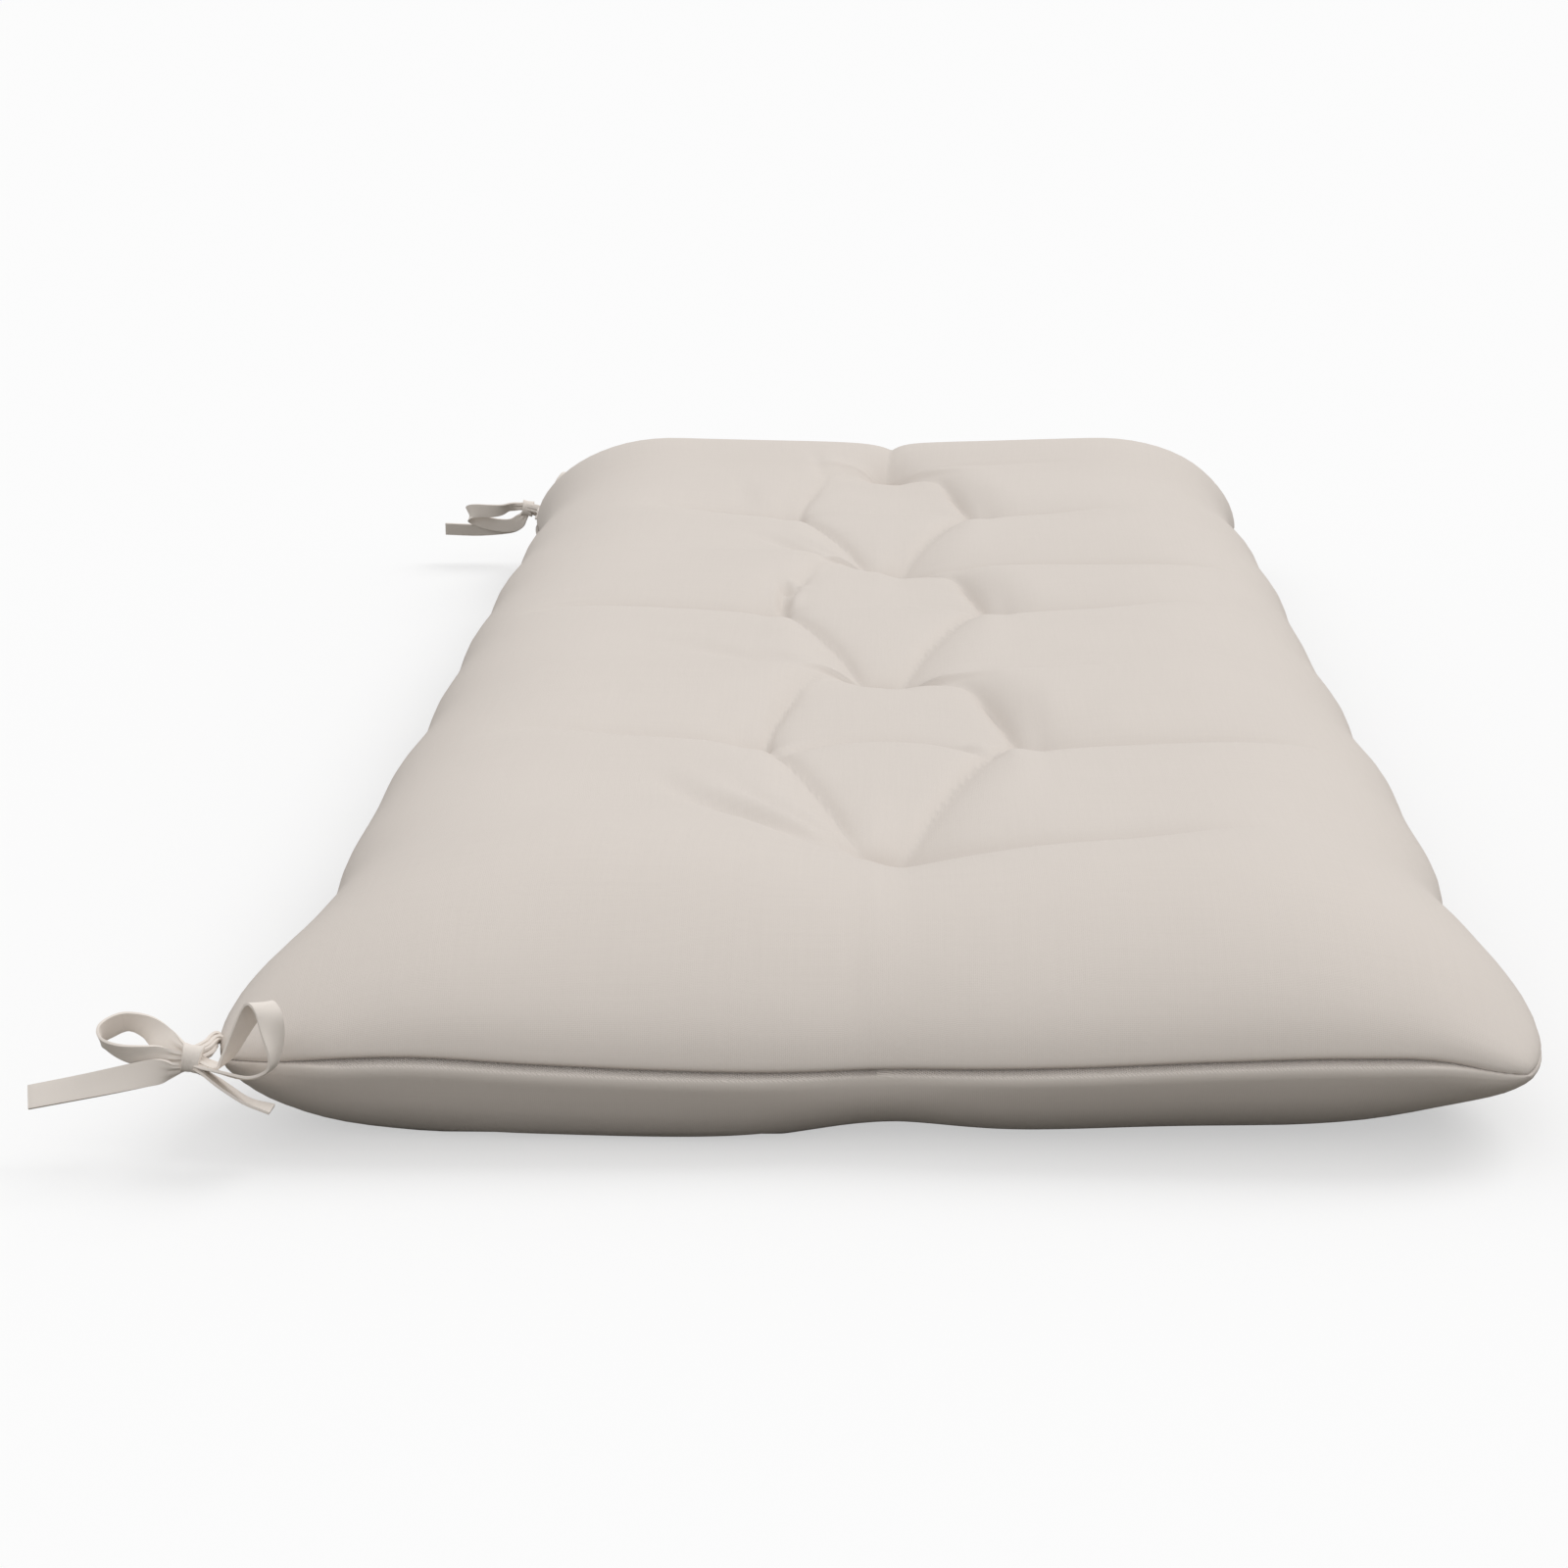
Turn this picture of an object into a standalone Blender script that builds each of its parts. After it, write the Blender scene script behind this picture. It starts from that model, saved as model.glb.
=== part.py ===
"""Tufted bench cushion, about 120 x 50 cm, with a ribbon bow at each back corner.

Metres, +Z up. X runs along the bench, +Y is the back edge, where the ties are
sewn in. The origin is the middle of the underside, on the surface it rests on.
"""
import math
from collections import namedtuple

import bmesh
import bpy
import numpy as np
from mathutils import Vector

for old in list(bpy.data.objects):
    bpy.data.objects.remove(old)

# Driving sizes of the cushion
LENGTH = 1.200
DEPTH = 0.500
SEAM_HEIGHT = 0.040
CROWN = 0.054
UNDERSIDE_SWELL = 0.050
NEAR_END_PUFF = 0.010
FAR_END_PUFF = 0.021
CORNER_ROUND = 0.008
END_DRAWN_IN = 0.0035

# Tufting: single tufts and pairs in turn, a pair standing this far from the middle
TUFT_PAIR = 0.060
DEEPEST_DIP = 0.026
UNDERSIDE_SHARE = 0.8
CREASE_WIDTH = 0.0075
TROUGH_WIDTH = 0.024

# The edge seam lies in a narrow groove between two lips
GROOVE = 0.0020
LIP = 0.00025

# Ribbon of the ties
TAPE_WIDTH = 0.010
TAPE_THICK = 0.0014
GATHERED = 0.5
GATHER_FROM = 0.003
GATHER_TO = 0.013

HALF_LENGTH = LENGTH / 2
HALF_DEPTH = DEPTH / 2

# Half widths of the sewn outline: ears at the corners, drawn in at each tuft row
Outline = namedtuple("Outline", "along back front")
OUTLINE = [
    Outline(-0.600, 0.2572, 0.2560),
    Outline(-0.555, 0.2562, 0.2570),
    Outline(-0.500, 0.2415, 0.2492),
    Outline(-0.450, 0.2355, 0.2428),
    Outline(-0.375, 0.2390, 0.2465),
    Outline(-0.300, 0.2388, 0.2458),
    Outline(-0.225, 0.2400, 0.2475),
    Outline(-0.150, 0.2358, 0.2425),
    Outline(-0.075, 0.2382, 0.2448),
    Outline(0.000, 0.2368, 0.2418),
    Outline(0.075, 0.2395, 0.2425),
    Outline(0.150, 0.2372, 0.2420),
    Outline(0.225, 0.2392, 0.2445),
    Outline(0.300, 0.2358, 0.2420),
    Outline(0.375, 0.2375, 0.2425),
    Outline(0.450, 0.2340, 0.2362),
    Outline(0.500, 0.2390, 0.2385),
    Outline(0.555, 0.2480, 0.2470),
    Outline(0.600, 0.2510, 0.2490),
]

# Tuft rows, about an eighth of the length apart: depth of the tufts, and the depth
# and reach of the crease that each row sends to either edge
TuftRow = namedtuple("TuftRow", "along paired deep back_deep back_far front_deep front_far")
TUFT_ROWS = [
    TuftRow(-0.450, False, 0.0215, 0.004, 0.12, 0.010, 0.14),
    TuftRow(-0.290, True, 0.0160, 0.010, 0.19, 0.014, 0.22),
    TuftRow(-0.138, False, 0.0170, 0.005, 0.13, 0.007, 0.14),
    TuftRow(0.012, True, 0.0160, 0.014, 0.21, 0.012, 0.19),
    TuftRow(0.163, False, 0.0170, 0.004, 0.12, 0.015, 0.22),
    TuftRow(0.312, True, 0.0160, 0.011, 0.18, 0.010, 0.19),
    TuftRow(0.463, False, 0.0170, 0.004, 0.12, 0.010, 0.15),
]

# Three diamonds, each from one single tuft round a pair to the next: depth of their
# near and far edges on either side, and of a crease across
Diamond = namedtuple("Diamond", "first_row back_near back_far front_near front_far across")
DIAMONDS = [
    Diamond(0, 0.013, 0.010, 0.013, 0.016, 0.006),
    Diamond(2, 0.014, 0.012, 0.012, 0.016, 0.000),
    Diamond(4, 0.013, 0.010, 0.012, 0.015, 0.000),
]

# Ties: the end of the bench each sits at, the width the knot stands at, and how
# far its loops rise
Tie = namedtuple("Tie", "name end knot_aside bow_tall")
TIES = [
    Tie("tie_near", -1, 0.2605, 1.00),
    Tie("tie_far", 1, 0.2590, 0.72),
]

# Strips of one bow, a row for each bend, in millimetres from the knot: aside
# (away from the cushion), outward (past its end), up, and the way the tape's
# width points there
Bend = namedtuple("Bend", "aside outward up width_aside width_outward width_up")
BOW = {
    "outer_loop": [
        Bend(0.8, -1.6, 1.7, 0.0, 0.2, 1.0),
        Bend(5.5, -4.5, 4.2, -0.1, 0.4, 0.9),
        Bend(14.0, -11.0, 8.5, 0.0, 0.5, 0.9),
        Bend(24.0, -14.0, 11.0, 0.0, 0.5, 0.9),
        Bend(32.0, -10.5, 9.0, 0.0, 0.5, 0.9),
        Bend(35.0, -3.0, 5.0, 0.0, 0.5, 0.9),
        Bend(31.0, 3.5, 2.5, 0.0, 0.5, 0.9),
        Bend(22.0, 5.0, 1.5, 0.0, 0.5, 0.9),
        Bend(10.0, 3.5, 1.0, 0.0, 0.4, 0.9),
        Bend(0.8, 1.6, 0.6, 0.0, 0.2, 1.0),
    ],
    "outer_tail": [
        Bend(0.8, 0.2, -3.4, 0.0, 0.9, 0.3),
        Bend(7.0, 1.5, -5.6, 0.1, 0.7, 0.7),
        Bend(15.0, 3.0, -5.5, 0.1, 0.4, 0.9),
        Bend(38.0, 4.5, -9.0, 0.2, 0.3, 0.9),
        Bend(62.5, 5.0, -13.5, 0.2, 0.3, 0.9),
    ],
    "inner_loop": [
        Bend(-0.8, -1.2, 0.4, 0.0, -1.0, 0.1),
        Bend(-7.0, 0.5, 0.2, -0.1, -1.0, 0.0),
        Bend(-14.0, 2.5, 3.0, -0.3, -0.9, -0.2),
        Bend(-20.5, 3.0, 12.5, -0.4, -0.9, -0.2),
        Bend(-26.0, 5.5, 21.5, -0.7, -0.6, 0.1),
        Bend(-30.0, 10.5, 25.0, -0.9, -0.3, 0.1),
        Bend(-33.5, 14.5, 18.5, -0.8, -0.6, 0.1),
        Bend(-34.5, 14.5, 8.0, -0.3, -0.9, 0.0),
        Bend(-32.0, 12.5, -0.5, -0.1, -1.0, -0.1),
        Bend(-24.0, 10.5, -5.5, 0.0, -1.0, -0.2),
        Bend(-13.0, 7.0, -5.0, 0.0, -1.0, 0.0),
        Bend(-0.8, 1.2, -1.8, 0.0, -1.0, 0.1),
    ],
    "inner_tail": [
        Bend(-0.8, 0.6, -4.0, 0.0, 1.0, 0.0),
        Bend(-5.5, 4.0, -6.2, 0.1, 1.0, 0.1),
        Bend(-13.0, 5.5, -10.5, 0.3, 0.9, 0.2),
        Bend(-21.5, 6.5, -15.0, 0.3, 0.9, 0.2),
        Bend(-31.0, 7.0, -19.0, 0.3, 0.9, 0.2),
    ],
}
KNOT_SIZE = Vector((7.4, 8.0, 10.0)) / 1000
KNOT_LIFT = 0.0010
KNOT_OUTWARD = 0.0040

# The two strands leave the seam one over the other, cut along it, and end in the
# knot: bends from the seam, the last one from the knot
ROOT = [
    Bend(0.0, 0.0, 0.0, 0.7, -0.7, 0.0),
    Bend(5.0, 5.8, 1.0, 0.9, -0.5, 0.0),
    Bend(5.2, 13.5, 3.0, 1.0, -0.1, 0.0),
    Bend(-0.6, -1.0, 1.8, 1.0, 0.0, 0.0),
]
ROOT_INWARD = 0.022
ROOT_SPREAD = 2.2
ROOT_SLANT = -0.0095
ROOT_INTO_GROOVE = 0.0004


def material(name, colour, roughness):
    """A plain matt cloth material."""
    made = bpy.data.materials.new(name)
    made.use_nodes = True
    shader = made.node_tree.nodes["Principled BSDF"]
    shader.inputs["Base Color"].default_value = (*colour, 1.0)
    shader.inputs["Roughness"].default_value = roughness
    shader.inputs["Metallic"].default_value = 0.0
    return made


def add_object(name, mesh, cloth):
    """Link a smooth-shaded object with one material."""
    mesh.shade_smooth()
    mesh.materials.append(cloth)
    made = bpy.data.objects.new(name, mesh)
    bpy.context.scene.collection.objects.link(made)
    return made


def ramp(value, start, stop):
    """0 before start, 1 after stop, smooth in between."""
    part = np.clip((value - start) / (stop - start), 0.0, 1.0)
    return part * part * (3.0 - 2.0 * part)


def smooth_curve(at, stations, values):
    """Values along a smooth curve through the table's stations."""
    slopes = np.gradient(values, stations)
    left = np.clip(np.searchsorted(stations, at) - 1, 0, len(stations) - 2)
    step = stations[left + 1] - stations[left]
    part = np.clip((at - stations[left]) / step, 0.0, 1.0)
    start = (1 + 2 * part) * (1 - part) ** 2 * values[left]
    start_slope = part * (1 - part) ** 2 * step * slopes[left]
    stop = part**2 * (3 - 2 * part) * values[left + 1]
    stop_slope = part**2 * (part - 1) * step * slopes[left + 1]
    return start + start_slope + stop + stop_slope


def half_width(along, aside):
    """Half width of the sewn outline on the side that aside is on."""
    stations = np.array([row.along for row in OUTLINE])
    back = smooth_curve(along, stations, np.array([row.back for row in OUTLINE]))
    front = smooth_curve(along, stations, np.array([row.front for row in OUTLINE]))
    return np.where(aside > 0, back, front)


def fold(distance, deep, width, rounding=0.0025):
    """Depth of a crease at a distance from its line."""
    return deep * np.exp((rounding - np.sqrt(distance**2 + rounding**2)) / width)


def crease(distance, deep):
    """A sharp crease lying in a softer trough."""
    sharp = fold(distance, 0.65 * deep, CREASE_WIDTH)
    return sharp + fold(distance, 0.35 * deep, TROUGH_WIDTH, 0.010)


def diamond_half(along):
    """Half width of the chain of diamonds: pointed at its near tuft, blunt at its far one."""
    rows = [row.along for row in TUFT_ROWS]
    part = (np.interp(along, rows, np.arange(len(rows))) % 2.0) - 1.0
    near = np.abs(1.0 + np.minimum(part, 0.0)) ** 1.3
    far = 1.0 - np.maximum(part, 0.0) ** 3.0
    return TUFT_PAIR * np.where(part < 0, near, far)


def dips(along, aside):
    """How far tufts, diamond edges and edge creases pull the cloth in."""
    total = np.zeros_like(along)
    away = np.abs(aside)
    for row in TUFT_ROWS:
        pair = TUFT_PAIR if row.paired else 0.0
        from_tuft = np.hypot(along - row.along, away - pair)
        total += fold(from_tuft, 0.7 * row.deep, 0.009)
        total += fold(from_tuft, 0.3 * row.deep, 0.022, 0.010)
        fade = ramp(away, pair - 0.006, pair + 0.012) * (1 - 0.35 * ramp(away, pair, pair + 0.10))
        for side, deep, far in ((1, row.back_deep, row.back_far), (-1, row.front_deep, row.front_far)):
            on_side = np.where(aside * side > 0, 1.0, 0.0)
            reach = 1 - ramp(away, far - 0.06, far + 0.03)
            total += on_side * fade * reach * crease(along - row.along, deep)

    edge = diamond_half(along)
    slope = np.gradient(edge, axis=0) / np.gradient(along, axis=0)
    from_edge = (away - edge) / np.sqrt(1 + slope**2)
    for diamond in DIAMONDS:
        start, middle, stop = [row.along for row in TUFT_ROWS[diamond.first_row :][:3]]
        within = ramp(along, start - 0.008, start + 0.004) * (1 - ramp(along, stop - 0.004, stop + 0.008))
        to_far = ramp(along, middle - 0.010, middle + 0.010)
        back = diamond.back_near + (diamond.back_far - diamond.back_near) * to_far
        front = diamond.front_near + (diamond.front_far - diamond.front_near) * to_far
        total += within * crease(from_edge, np.where(aside > 0, back, front))
        inside = ramp(TUFT_PAIR - away, -0.005, 0.020)
        total += inside * fold(along - middle, diamond.across, 0.008)

    # A valley runs on from the last tuft to each end, sharp at the far one
    last = TUFT_ROWS[-1].along
    past_far = ramp(along, last - 0.005, last + 0.015) * (1 - 0.6 * ramp(along, last + 0.02, 0.59))
    total += past_far * fold(aside + 0.05 * (along - last), 0.011, 0.008)
    first = TUFT_ROWS[0].along
    past_near = ramp(-along, -first - 0.005, -first + 0.015) * (1 - 0.6 * ramp(-along, 0.02 - first, 0.58))
    total += past_near * fold(aside, 0.005, 0.030)
    return DEEPEST_DIP * (1 - np.exp(-total / DEEPEST_DIP))


def roll(inward, reach, fullness=2.1):
    """Rounded rise from the seam to the full height, reach metres inward."""
    part = np.clip(inward / reach, 0.0, 1.0)
    return np.maximum(0.0, 1 - (1 - part) ** fullness) ** (1 / fullness)


def end_puffs(along):
    """How much of each end's fuller puff shows here."""
    near = np.exp(-(((along + 0.52) / 0.080) ** 2))
    far = np.exp(-(((along - 0.53) / 0.085) ** 2))
    return near, far


def top_rise(along, aside):
    """Height of the upper panel above the seam."""
    near, far = end_puffs(along)
    from_end = HALF_LENGTH - np.abs(along)
    from_side = HALF_DEPTH - np.abs(aside)
    full = CROWN + NEAR_END_PUFF * near + FAR_END_PUFF * far
    crown = full * roll(from_end, 0.145 - 0.015 * far, 2.0) * roll(from_side, 0.105 + 0.035 * near)
    return crown - dips(along, aside) * np.minimum(1.0, crown / 0.045)


def under_drop(along, aside):
    """Depth of the lower panel below the seam, before the surface flattens it."""
    from_end = HALF_LENGTH - np.abs(along)
    from_side = HALF_DEPTH - np.abs(aside)
    swell = UNDERSIDE_SWELL * roll(from_end, 0.095 - 0.10 * aside) * roll(from_side, 0.10)
    pulled = UNDERSIDE_SHARE * dips(along, aside) * np.minimum(1.0, swell / 0.040)
    return np.maximum(0.0, swell - pulled)


def seam_height(along, aside):
    """The edge seam dips a little at the middle of each end."""
    at_end = ramp(np.abs(along), 0.50, 0.60)
    return SEAM_HEIGHT - 0.004 * at_end * np.exp(-((aside / 0.06) ** 2))


def gathered(count, pull):
    """count steps from 0 to 1, gathered at both ends."""
    even = np.linspace(0.0, 1.0, count + 1)
    return even - pull * np.sin(2 * math.pi * even) / (2 * math.pi)


def net_lines(per_row, inside, outside):
    """Lines of the cloth net: closer at each tuft row, along the diamonds and at the seam."""
    rows = [-HALF_LENGTH, *[row.along for row in TUFT_ROWS], HALF_LENGTH]
    along = [-HALF_LENGTH]
    for start, stop in zip(rows, rows[1:]):
        along.extend(start + gathered(per_row, 0.6)[1:] * (stop - start))
    along = np.array([along[0], along[0] + LIP, *along[1:-1], along[-1] - LIP, along[-1]])
    past = np.maximum(rows[1] - along, along - rows[-2])
    edge = np.where(past > 0, 0.0, diamond_half(along))
    edge = np.maximum(edge, 0.010 + 0.060 * ramp(past, 0.0, 0.10))[:, None]
    inner = edge * np.linspace(0.0, 1.0, inside + 1)
    outer = edge + (HALF_DEPTH - edge) * gathered(outside, 0.75)[1:]
    lip = np.full_like(edge, HALF_DEPTH - LIP)
    half = np.hstack([inner, outer[:, :-1], lip, outer[:, -1:]])
    aside = np.hstack([-half[:, :0:-1], half])
    return np.repeat(along[:, None], aside.shape[1], axis=1), aside


def plan_place(along, aside):
    """Where a point of the net lies seen from above, inside the sewn outline."""
    end = np.abs(along) / HALF_LENGTH
    side = np.abs(aside) / HALF_DEPTH
    drawn = END_DRAWN_IN * end**6 * (1 - side**2 + np.exp(-((aside / 0.03) ** 2)))
    x = along - np.sign(along) * (drawn + CORNER_ROUND * side**12 * end**30)
    corner = CORNER_ROUND * 0.8 * end**40 * side**3
    y = aside / HALF_DEPTH * half_width(along, aside) - np.sign(aside) * corner
    return x, y


def cushion_points(along, aside):
    """Places of the net's points on the upper and lower panels."""
    x, y = plan_place(along, aside)
    at_end = np.abs(along) >= HALF_LENGTH
    at_side = np.abs(aside) >= HALF_DEPTH
    x = x - np.sign(along) * np.where(at_end, GROOVE, 0.0)
    y = y - np.sign(aside) * np.where(at_side, GROOVE, 0.0)
    seam = seam_height(along, aside)
    top = seam + top_rise(along, aside)
    under = np.maximum(0.0, seam - under_drop(along, aside))
    return x, y, np.where(at_end | at_side, seam, top), np.where(at_end | at_side, seam, under)


def build_cushion(cloth):
    """Upper and lower panel sewn together round the edge and filled."""
    x, y, top, under = cushion_points(*net_lines(10, 3, 9))
    rows, columns = x.shape
    net = bmesh.new()
    upper = [[net.verts.new((x[i, j], y[i, j], top[i, j])) for j in range(columns)] for i in range(rows)]
    lower = []
    for i in range(rows):
        line = []
        for j in range(columns):
            on_seam = i in (0, rows - 1) or j in (0, columns - 1)
            line.append(upper[i][j] if on_seam else net.verts.new((x[i, j], y[i, j], under[i, j])))
        lower.append(line)
    for panel in (upper, lower):
        for i in range(rows - 1):
            for j in range(columns - 1):
                cell = [panel[i][j], panel[i + 1][j], panel[i + 1][j + 1], panel[i][j + 1]]
                if i in (0, rows - 2) and j in (0, columns - 2):
                    first = 0 if (i == 0) == (j == 0) else 1
                    cell = cell[first:] + cell[:first]
                    net.faces.new((cell[0], cell[1], cell[2]))
                    net.faces.new((cell[0], cell[2], cell[3]))
                else:
                    net.faces.new(cell)
    bmesh.ops.recalc_face_normals(net, faces=net.faces)
    mesh = bpy.data.meshes.new("cushion")
    net.to_mesh(mesh)
    net.free()
    return add_object("cushion", mesh, cloth)


def tape_mesh(name, places, widths, knot_centre, slant=0.0):
    """A flat tape swept along places, turned as widths says and gathered at the knot.

    Its first end is cut on the slant, one edge this much longer than the other.
    """
    tape = bmesh.new()
    rings = []
    last = len(places) - 1
    for index, place in enumerate(places):
        run = (places[min(index + 1, last)] - places[max(index - 1, 0)]).normalized()
        wide = (widths[index] - widths[index].dot(run) * run).normalized()
        thick = run.cross(wide) * TAPE_THICK / 2
        gather = float(ramp((place - knot_centre).length, GATHER_FROM, GATHER_TO))
        wide = wide * TAPE_WIDTH * (GATHERED + (1 - GATHERED) * gather) / 2
        if index == 0:
            wide = wide + run * slant / 2
        corners = (wide + thick, wide - thick, -wide - thick, -wide + thick)
        rings.append([tape.verts.new(place + corner) for corner in corners])
    for first, second in zip(rings, rings[1:]):
        for side in range(4):
            after = (side + 1) % 4
            tape.faces.new((first[side], first[after], second[after], second[side]))
    tape.faces.new(rings[0])
    tape.faces.new(rings[-1])
    bmesh.ops.recalc_face_normals(tape, faces=tape.faces)
    mesh = bpy.data.meshes.new(name)
    tape.to_mesh(mesh)
    tape.free()
    return mesh


def tape_route(bends, steps):
    """Smooth places and width directions through a strip's bends."""
    stations = np.arange(len(bends), dtype=float)
    at = np.linspace(0.0, len(bends) - 1.0, steps + 1)
    table = np.array([tuple(bend) for bend in bends])
    columns = [smooth_curve(at, stations, table[:, column]) for column in range(6)]
    places = [Vector(point) for point in zip(*columns[:3])]
    widths = [Vector(point) for point in zip(*columns[3:])]
    return places, widths


def build_tie(tie, cloth):
    """One ribbon tie: two strands out of the seam, a knot, two loops and two tails."""
    knot_along = HALF_LENGTH + KNOT_OUTWARD
    knot_centre = Vector((tie.end * knot_along, tie.knot_aside, SEAM_HEIGHT + KNOT_LIFT))

    def placed(point):
        """The bow's own aside, outward and up, in metres, as a direction on the bench."""
        return Vector((tie.end * point.y, point.x, point.z))

    def stretched(point):
        """A place in the bow, in millimetres; what rises clear of the knot is lowered."""
        above = float(ramp(point.z, 2.0, 9.0))
        tall = 1 + (tie.bow_tall - 1) * above
        return placed(Vector((point.x, point.y, point.z * tall)) / 1000) + knot_centre

    knot = bmesh.new()
    bmesh.ops.create_cone(knot, cap_ends=True, segments=14, radius1=0.5, radius2=0.5, depth=1.0)
    rims = [edge for edge in knot.edges if abs(edge.verts[0].co.z - edge.verts[1].co.z) < 0.5]
    bmesh.ops.bevel(knot, geom=rims, offset=0.14, segments=2, profile=0.6, affect="EDGES")
    for vert in knot.verts:
        across, over, wrap = vert.co.z, vert.co.x, vert.co.y
        local = Vector((across * KNOT_SIZE.x, over * KNOT_SIZE.y, wrap * KNOT_SIZE.z))
        vert.co = placed(local) + knot_centre
    bmesh.ops.recalc_face_normals(knot, faces=knot.faces)
    mesh = bpy.data.meshes.new(tie.name)
    knot.to_mesh(mesh)
    knot.free()
    bow = add_object(tie.name, mesh, cloth)

    strips = []
    for name, bends in BOW.items():
        places, widths = tape_route(bends, 4 * (len(bends) - 1))
        places = [stretched(point) for point in places]
        widths = [placed(width) for width in widths]
        strips.append(tape_mesh(f"{tie.name}_{name}", places, widths, knot_centre))

    root_along = tie.end * (HALF_LENGTH - ROOT_INWARD)
    lip = float(plan_place(np.array([root_along]), np.array([HALF_DEPTH]))[1][0])
    seam_point = Vector((root_along, lip - ROOT_INTO_GROOVE, SEAM_HEIGHT))
    for strand, lift in (("under", -0.5 * ROOT_SPREAD), ("over", 0.5 * ROOT_SPREAD)):
        points = [placed(Vector((bend.aside, bend.outward, bend.up + lift)) / 1000) for bend in ROOT]
        places = [seam_point + point for point in points[:-1]] + [knot_centre + points[-1]]
        widths = [placed(Vector((bend.width_aside, bend.width_outward, 0.0))) for bend in ROOT]
        name = f"{tie.name}_root_{strand}"
        strips.append(tape_mesh(name, places, widths, knot_centre, ROOT_SLANT))

    for strip in strips:
        piece = bpy.data.objects.new(strip.name, strip)
        bpy.context.scene.collection.objects.link(piece)
        piece.hide_render = True
        piece.display_type = "WIRE"
        join = bow.modifiers.new(strip.name, "BOOLEAN")
        join.operation = "UNION"
        join.solver = "EXACT"
        join.use_self = True
        join.object = piece
    return bow


cover_cloth = material("cover_cloth", (0.66, 0.60, 0.56), 0.9)
tie_tape = material("tie_tape", (0.58, 0.53, 0.48), 0.85)
build_cushion(cover_cloth)
for tie in TIES:
    build_tie(tie, tie_tape)
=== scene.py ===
"""Looks of the tufted bench cushion: cover, seam, tufts and the two ribbon bows."""
import math
from collections import namedtuple

import bmesh
import bpy
import numpy as np
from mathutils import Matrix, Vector


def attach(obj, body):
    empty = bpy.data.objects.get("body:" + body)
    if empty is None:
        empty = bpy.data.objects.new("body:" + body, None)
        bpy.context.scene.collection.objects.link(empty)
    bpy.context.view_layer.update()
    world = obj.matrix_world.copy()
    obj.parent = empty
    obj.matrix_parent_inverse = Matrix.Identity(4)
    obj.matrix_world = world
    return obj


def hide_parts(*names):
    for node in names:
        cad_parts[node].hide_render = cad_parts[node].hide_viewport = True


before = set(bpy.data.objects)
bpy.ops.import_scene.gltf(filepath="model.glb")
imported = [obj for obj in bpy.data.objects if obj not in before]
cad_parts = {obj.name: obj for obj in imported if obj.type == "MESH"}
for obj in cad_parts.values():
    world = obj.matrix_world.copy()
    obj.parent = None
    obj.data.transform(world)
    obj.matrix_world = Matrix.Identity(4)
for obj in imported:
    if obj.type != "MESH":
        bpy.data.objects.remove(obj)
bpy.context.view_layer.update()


# ---------------------------------------------------------------- camera
# The photo is taken from past the near end of the bench, low down and looking
# along it, with a long lens. The focal length and the turn are in the photo's pixels.
PHOTO_PIXELS = 1600
FOCAL_PIXELS = 3466
TURNED_PIXELS = 109
SENSOR_WIDTH = 36
PHOTO_LENS = FOCAL_PIXELS / PHOTO_PIXELS * SENSOR_WIDTH
PHOTO_PITCH = math.radians(14.6)
PHOTO_YAW = math.atan(TURNED_PIXELS / FOCAL_PIXELS)
PHOTO_PLACE = (-1.821, -0.003, 0.468)

lens = bpy.data.cameras.new("camera")
lens.lens = PHOTO_LENS
lens.sensor_width = SENSOR_WIDTH
camera = bpy.data.objects.new("camera", lens)
bpy.context.scene.collection.objects.link(camera)
bpy.context.scene.camera = camera
looking = Vector((
    math.cos(PHOTO_PITCH) * math.cos(PHOTO_YAW),
    math.cos(PHOTO_PITCH) * math.sin(PHOTO_YAW),
    -math.sin(PHOTO_PITCH),
))
camera.location = PHOTO_PLACE
camera.rotation_mode = "QUATERNION"
camera.rotation_quaternion = looking.to_track_quat("-Z", "Y")


# ---------------------------------------------------------------- cushion
# Two panels of matt cotton are sewn together round the edge, turned and filled
# with fibre. Ten tufts pull the two faces together, and the cloth between them
# folds into diamonds and creases. It is one closed, padded piece.
LENGTH = 1.200
DEPTH = 0.500
SEAM_HEIGHT = 0.040
CORNER_ROUND = 0.008
END_DRAWN_IN = 0.0035
HALF_LENGTH = LENGTH / 2
HALF_DEPTH = DEPTH / 2

# The upper face rises from the seam over these reaches, and is fuller at the two ends.
# The far end rises sooner from its edge, and the near end later from its sides
CROWN = 0.054
TOP_END_REACH = 0.145
TOP_SIDE_REACH = 0.105
FAR_REACH_LESS = 0.015
NEAR_REACH_MORE = 0.035
NEAR_END_PUFF = 0.010
NEAR_PUFF_AT = -0.52
NEAR_PUFF_SPREAD = 0.080
FAR_END_PUFF = 0.021
FAR_PUFF_AT = 0.545
FAR_PUFF_SPREAD = 0.070

# The lower face swells down from the seam, sooner at the back, and less soon under the
# middle of each end and beside it. It takes a share of the upper face's dips
UNDERSIDE_SWELL = 0.050
UNDER_END_REACH = 0.095
UNDER_END_SKEW = 0.10
UNDER_SIDE_REACH = 0.10
MIDDLE_LIFT = 0.040
MIDDLE_LIFT_SPREAD = 0.036
FRONT_LIFT = 0.012
FRONT_LIFT_AT = -0.09
FRONT_LIFT_SPREAD = 0.06
UNDERSIDE_SHARE = 0.75

# Dips fade where the panel is lower than this, and none goes deeper than the limit
TOP_DIPS_FULL_AT = 0.045
UNDER_DIPS_FULL_AT = 0.040
DEEPEST_DIP = 0.034

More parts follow.
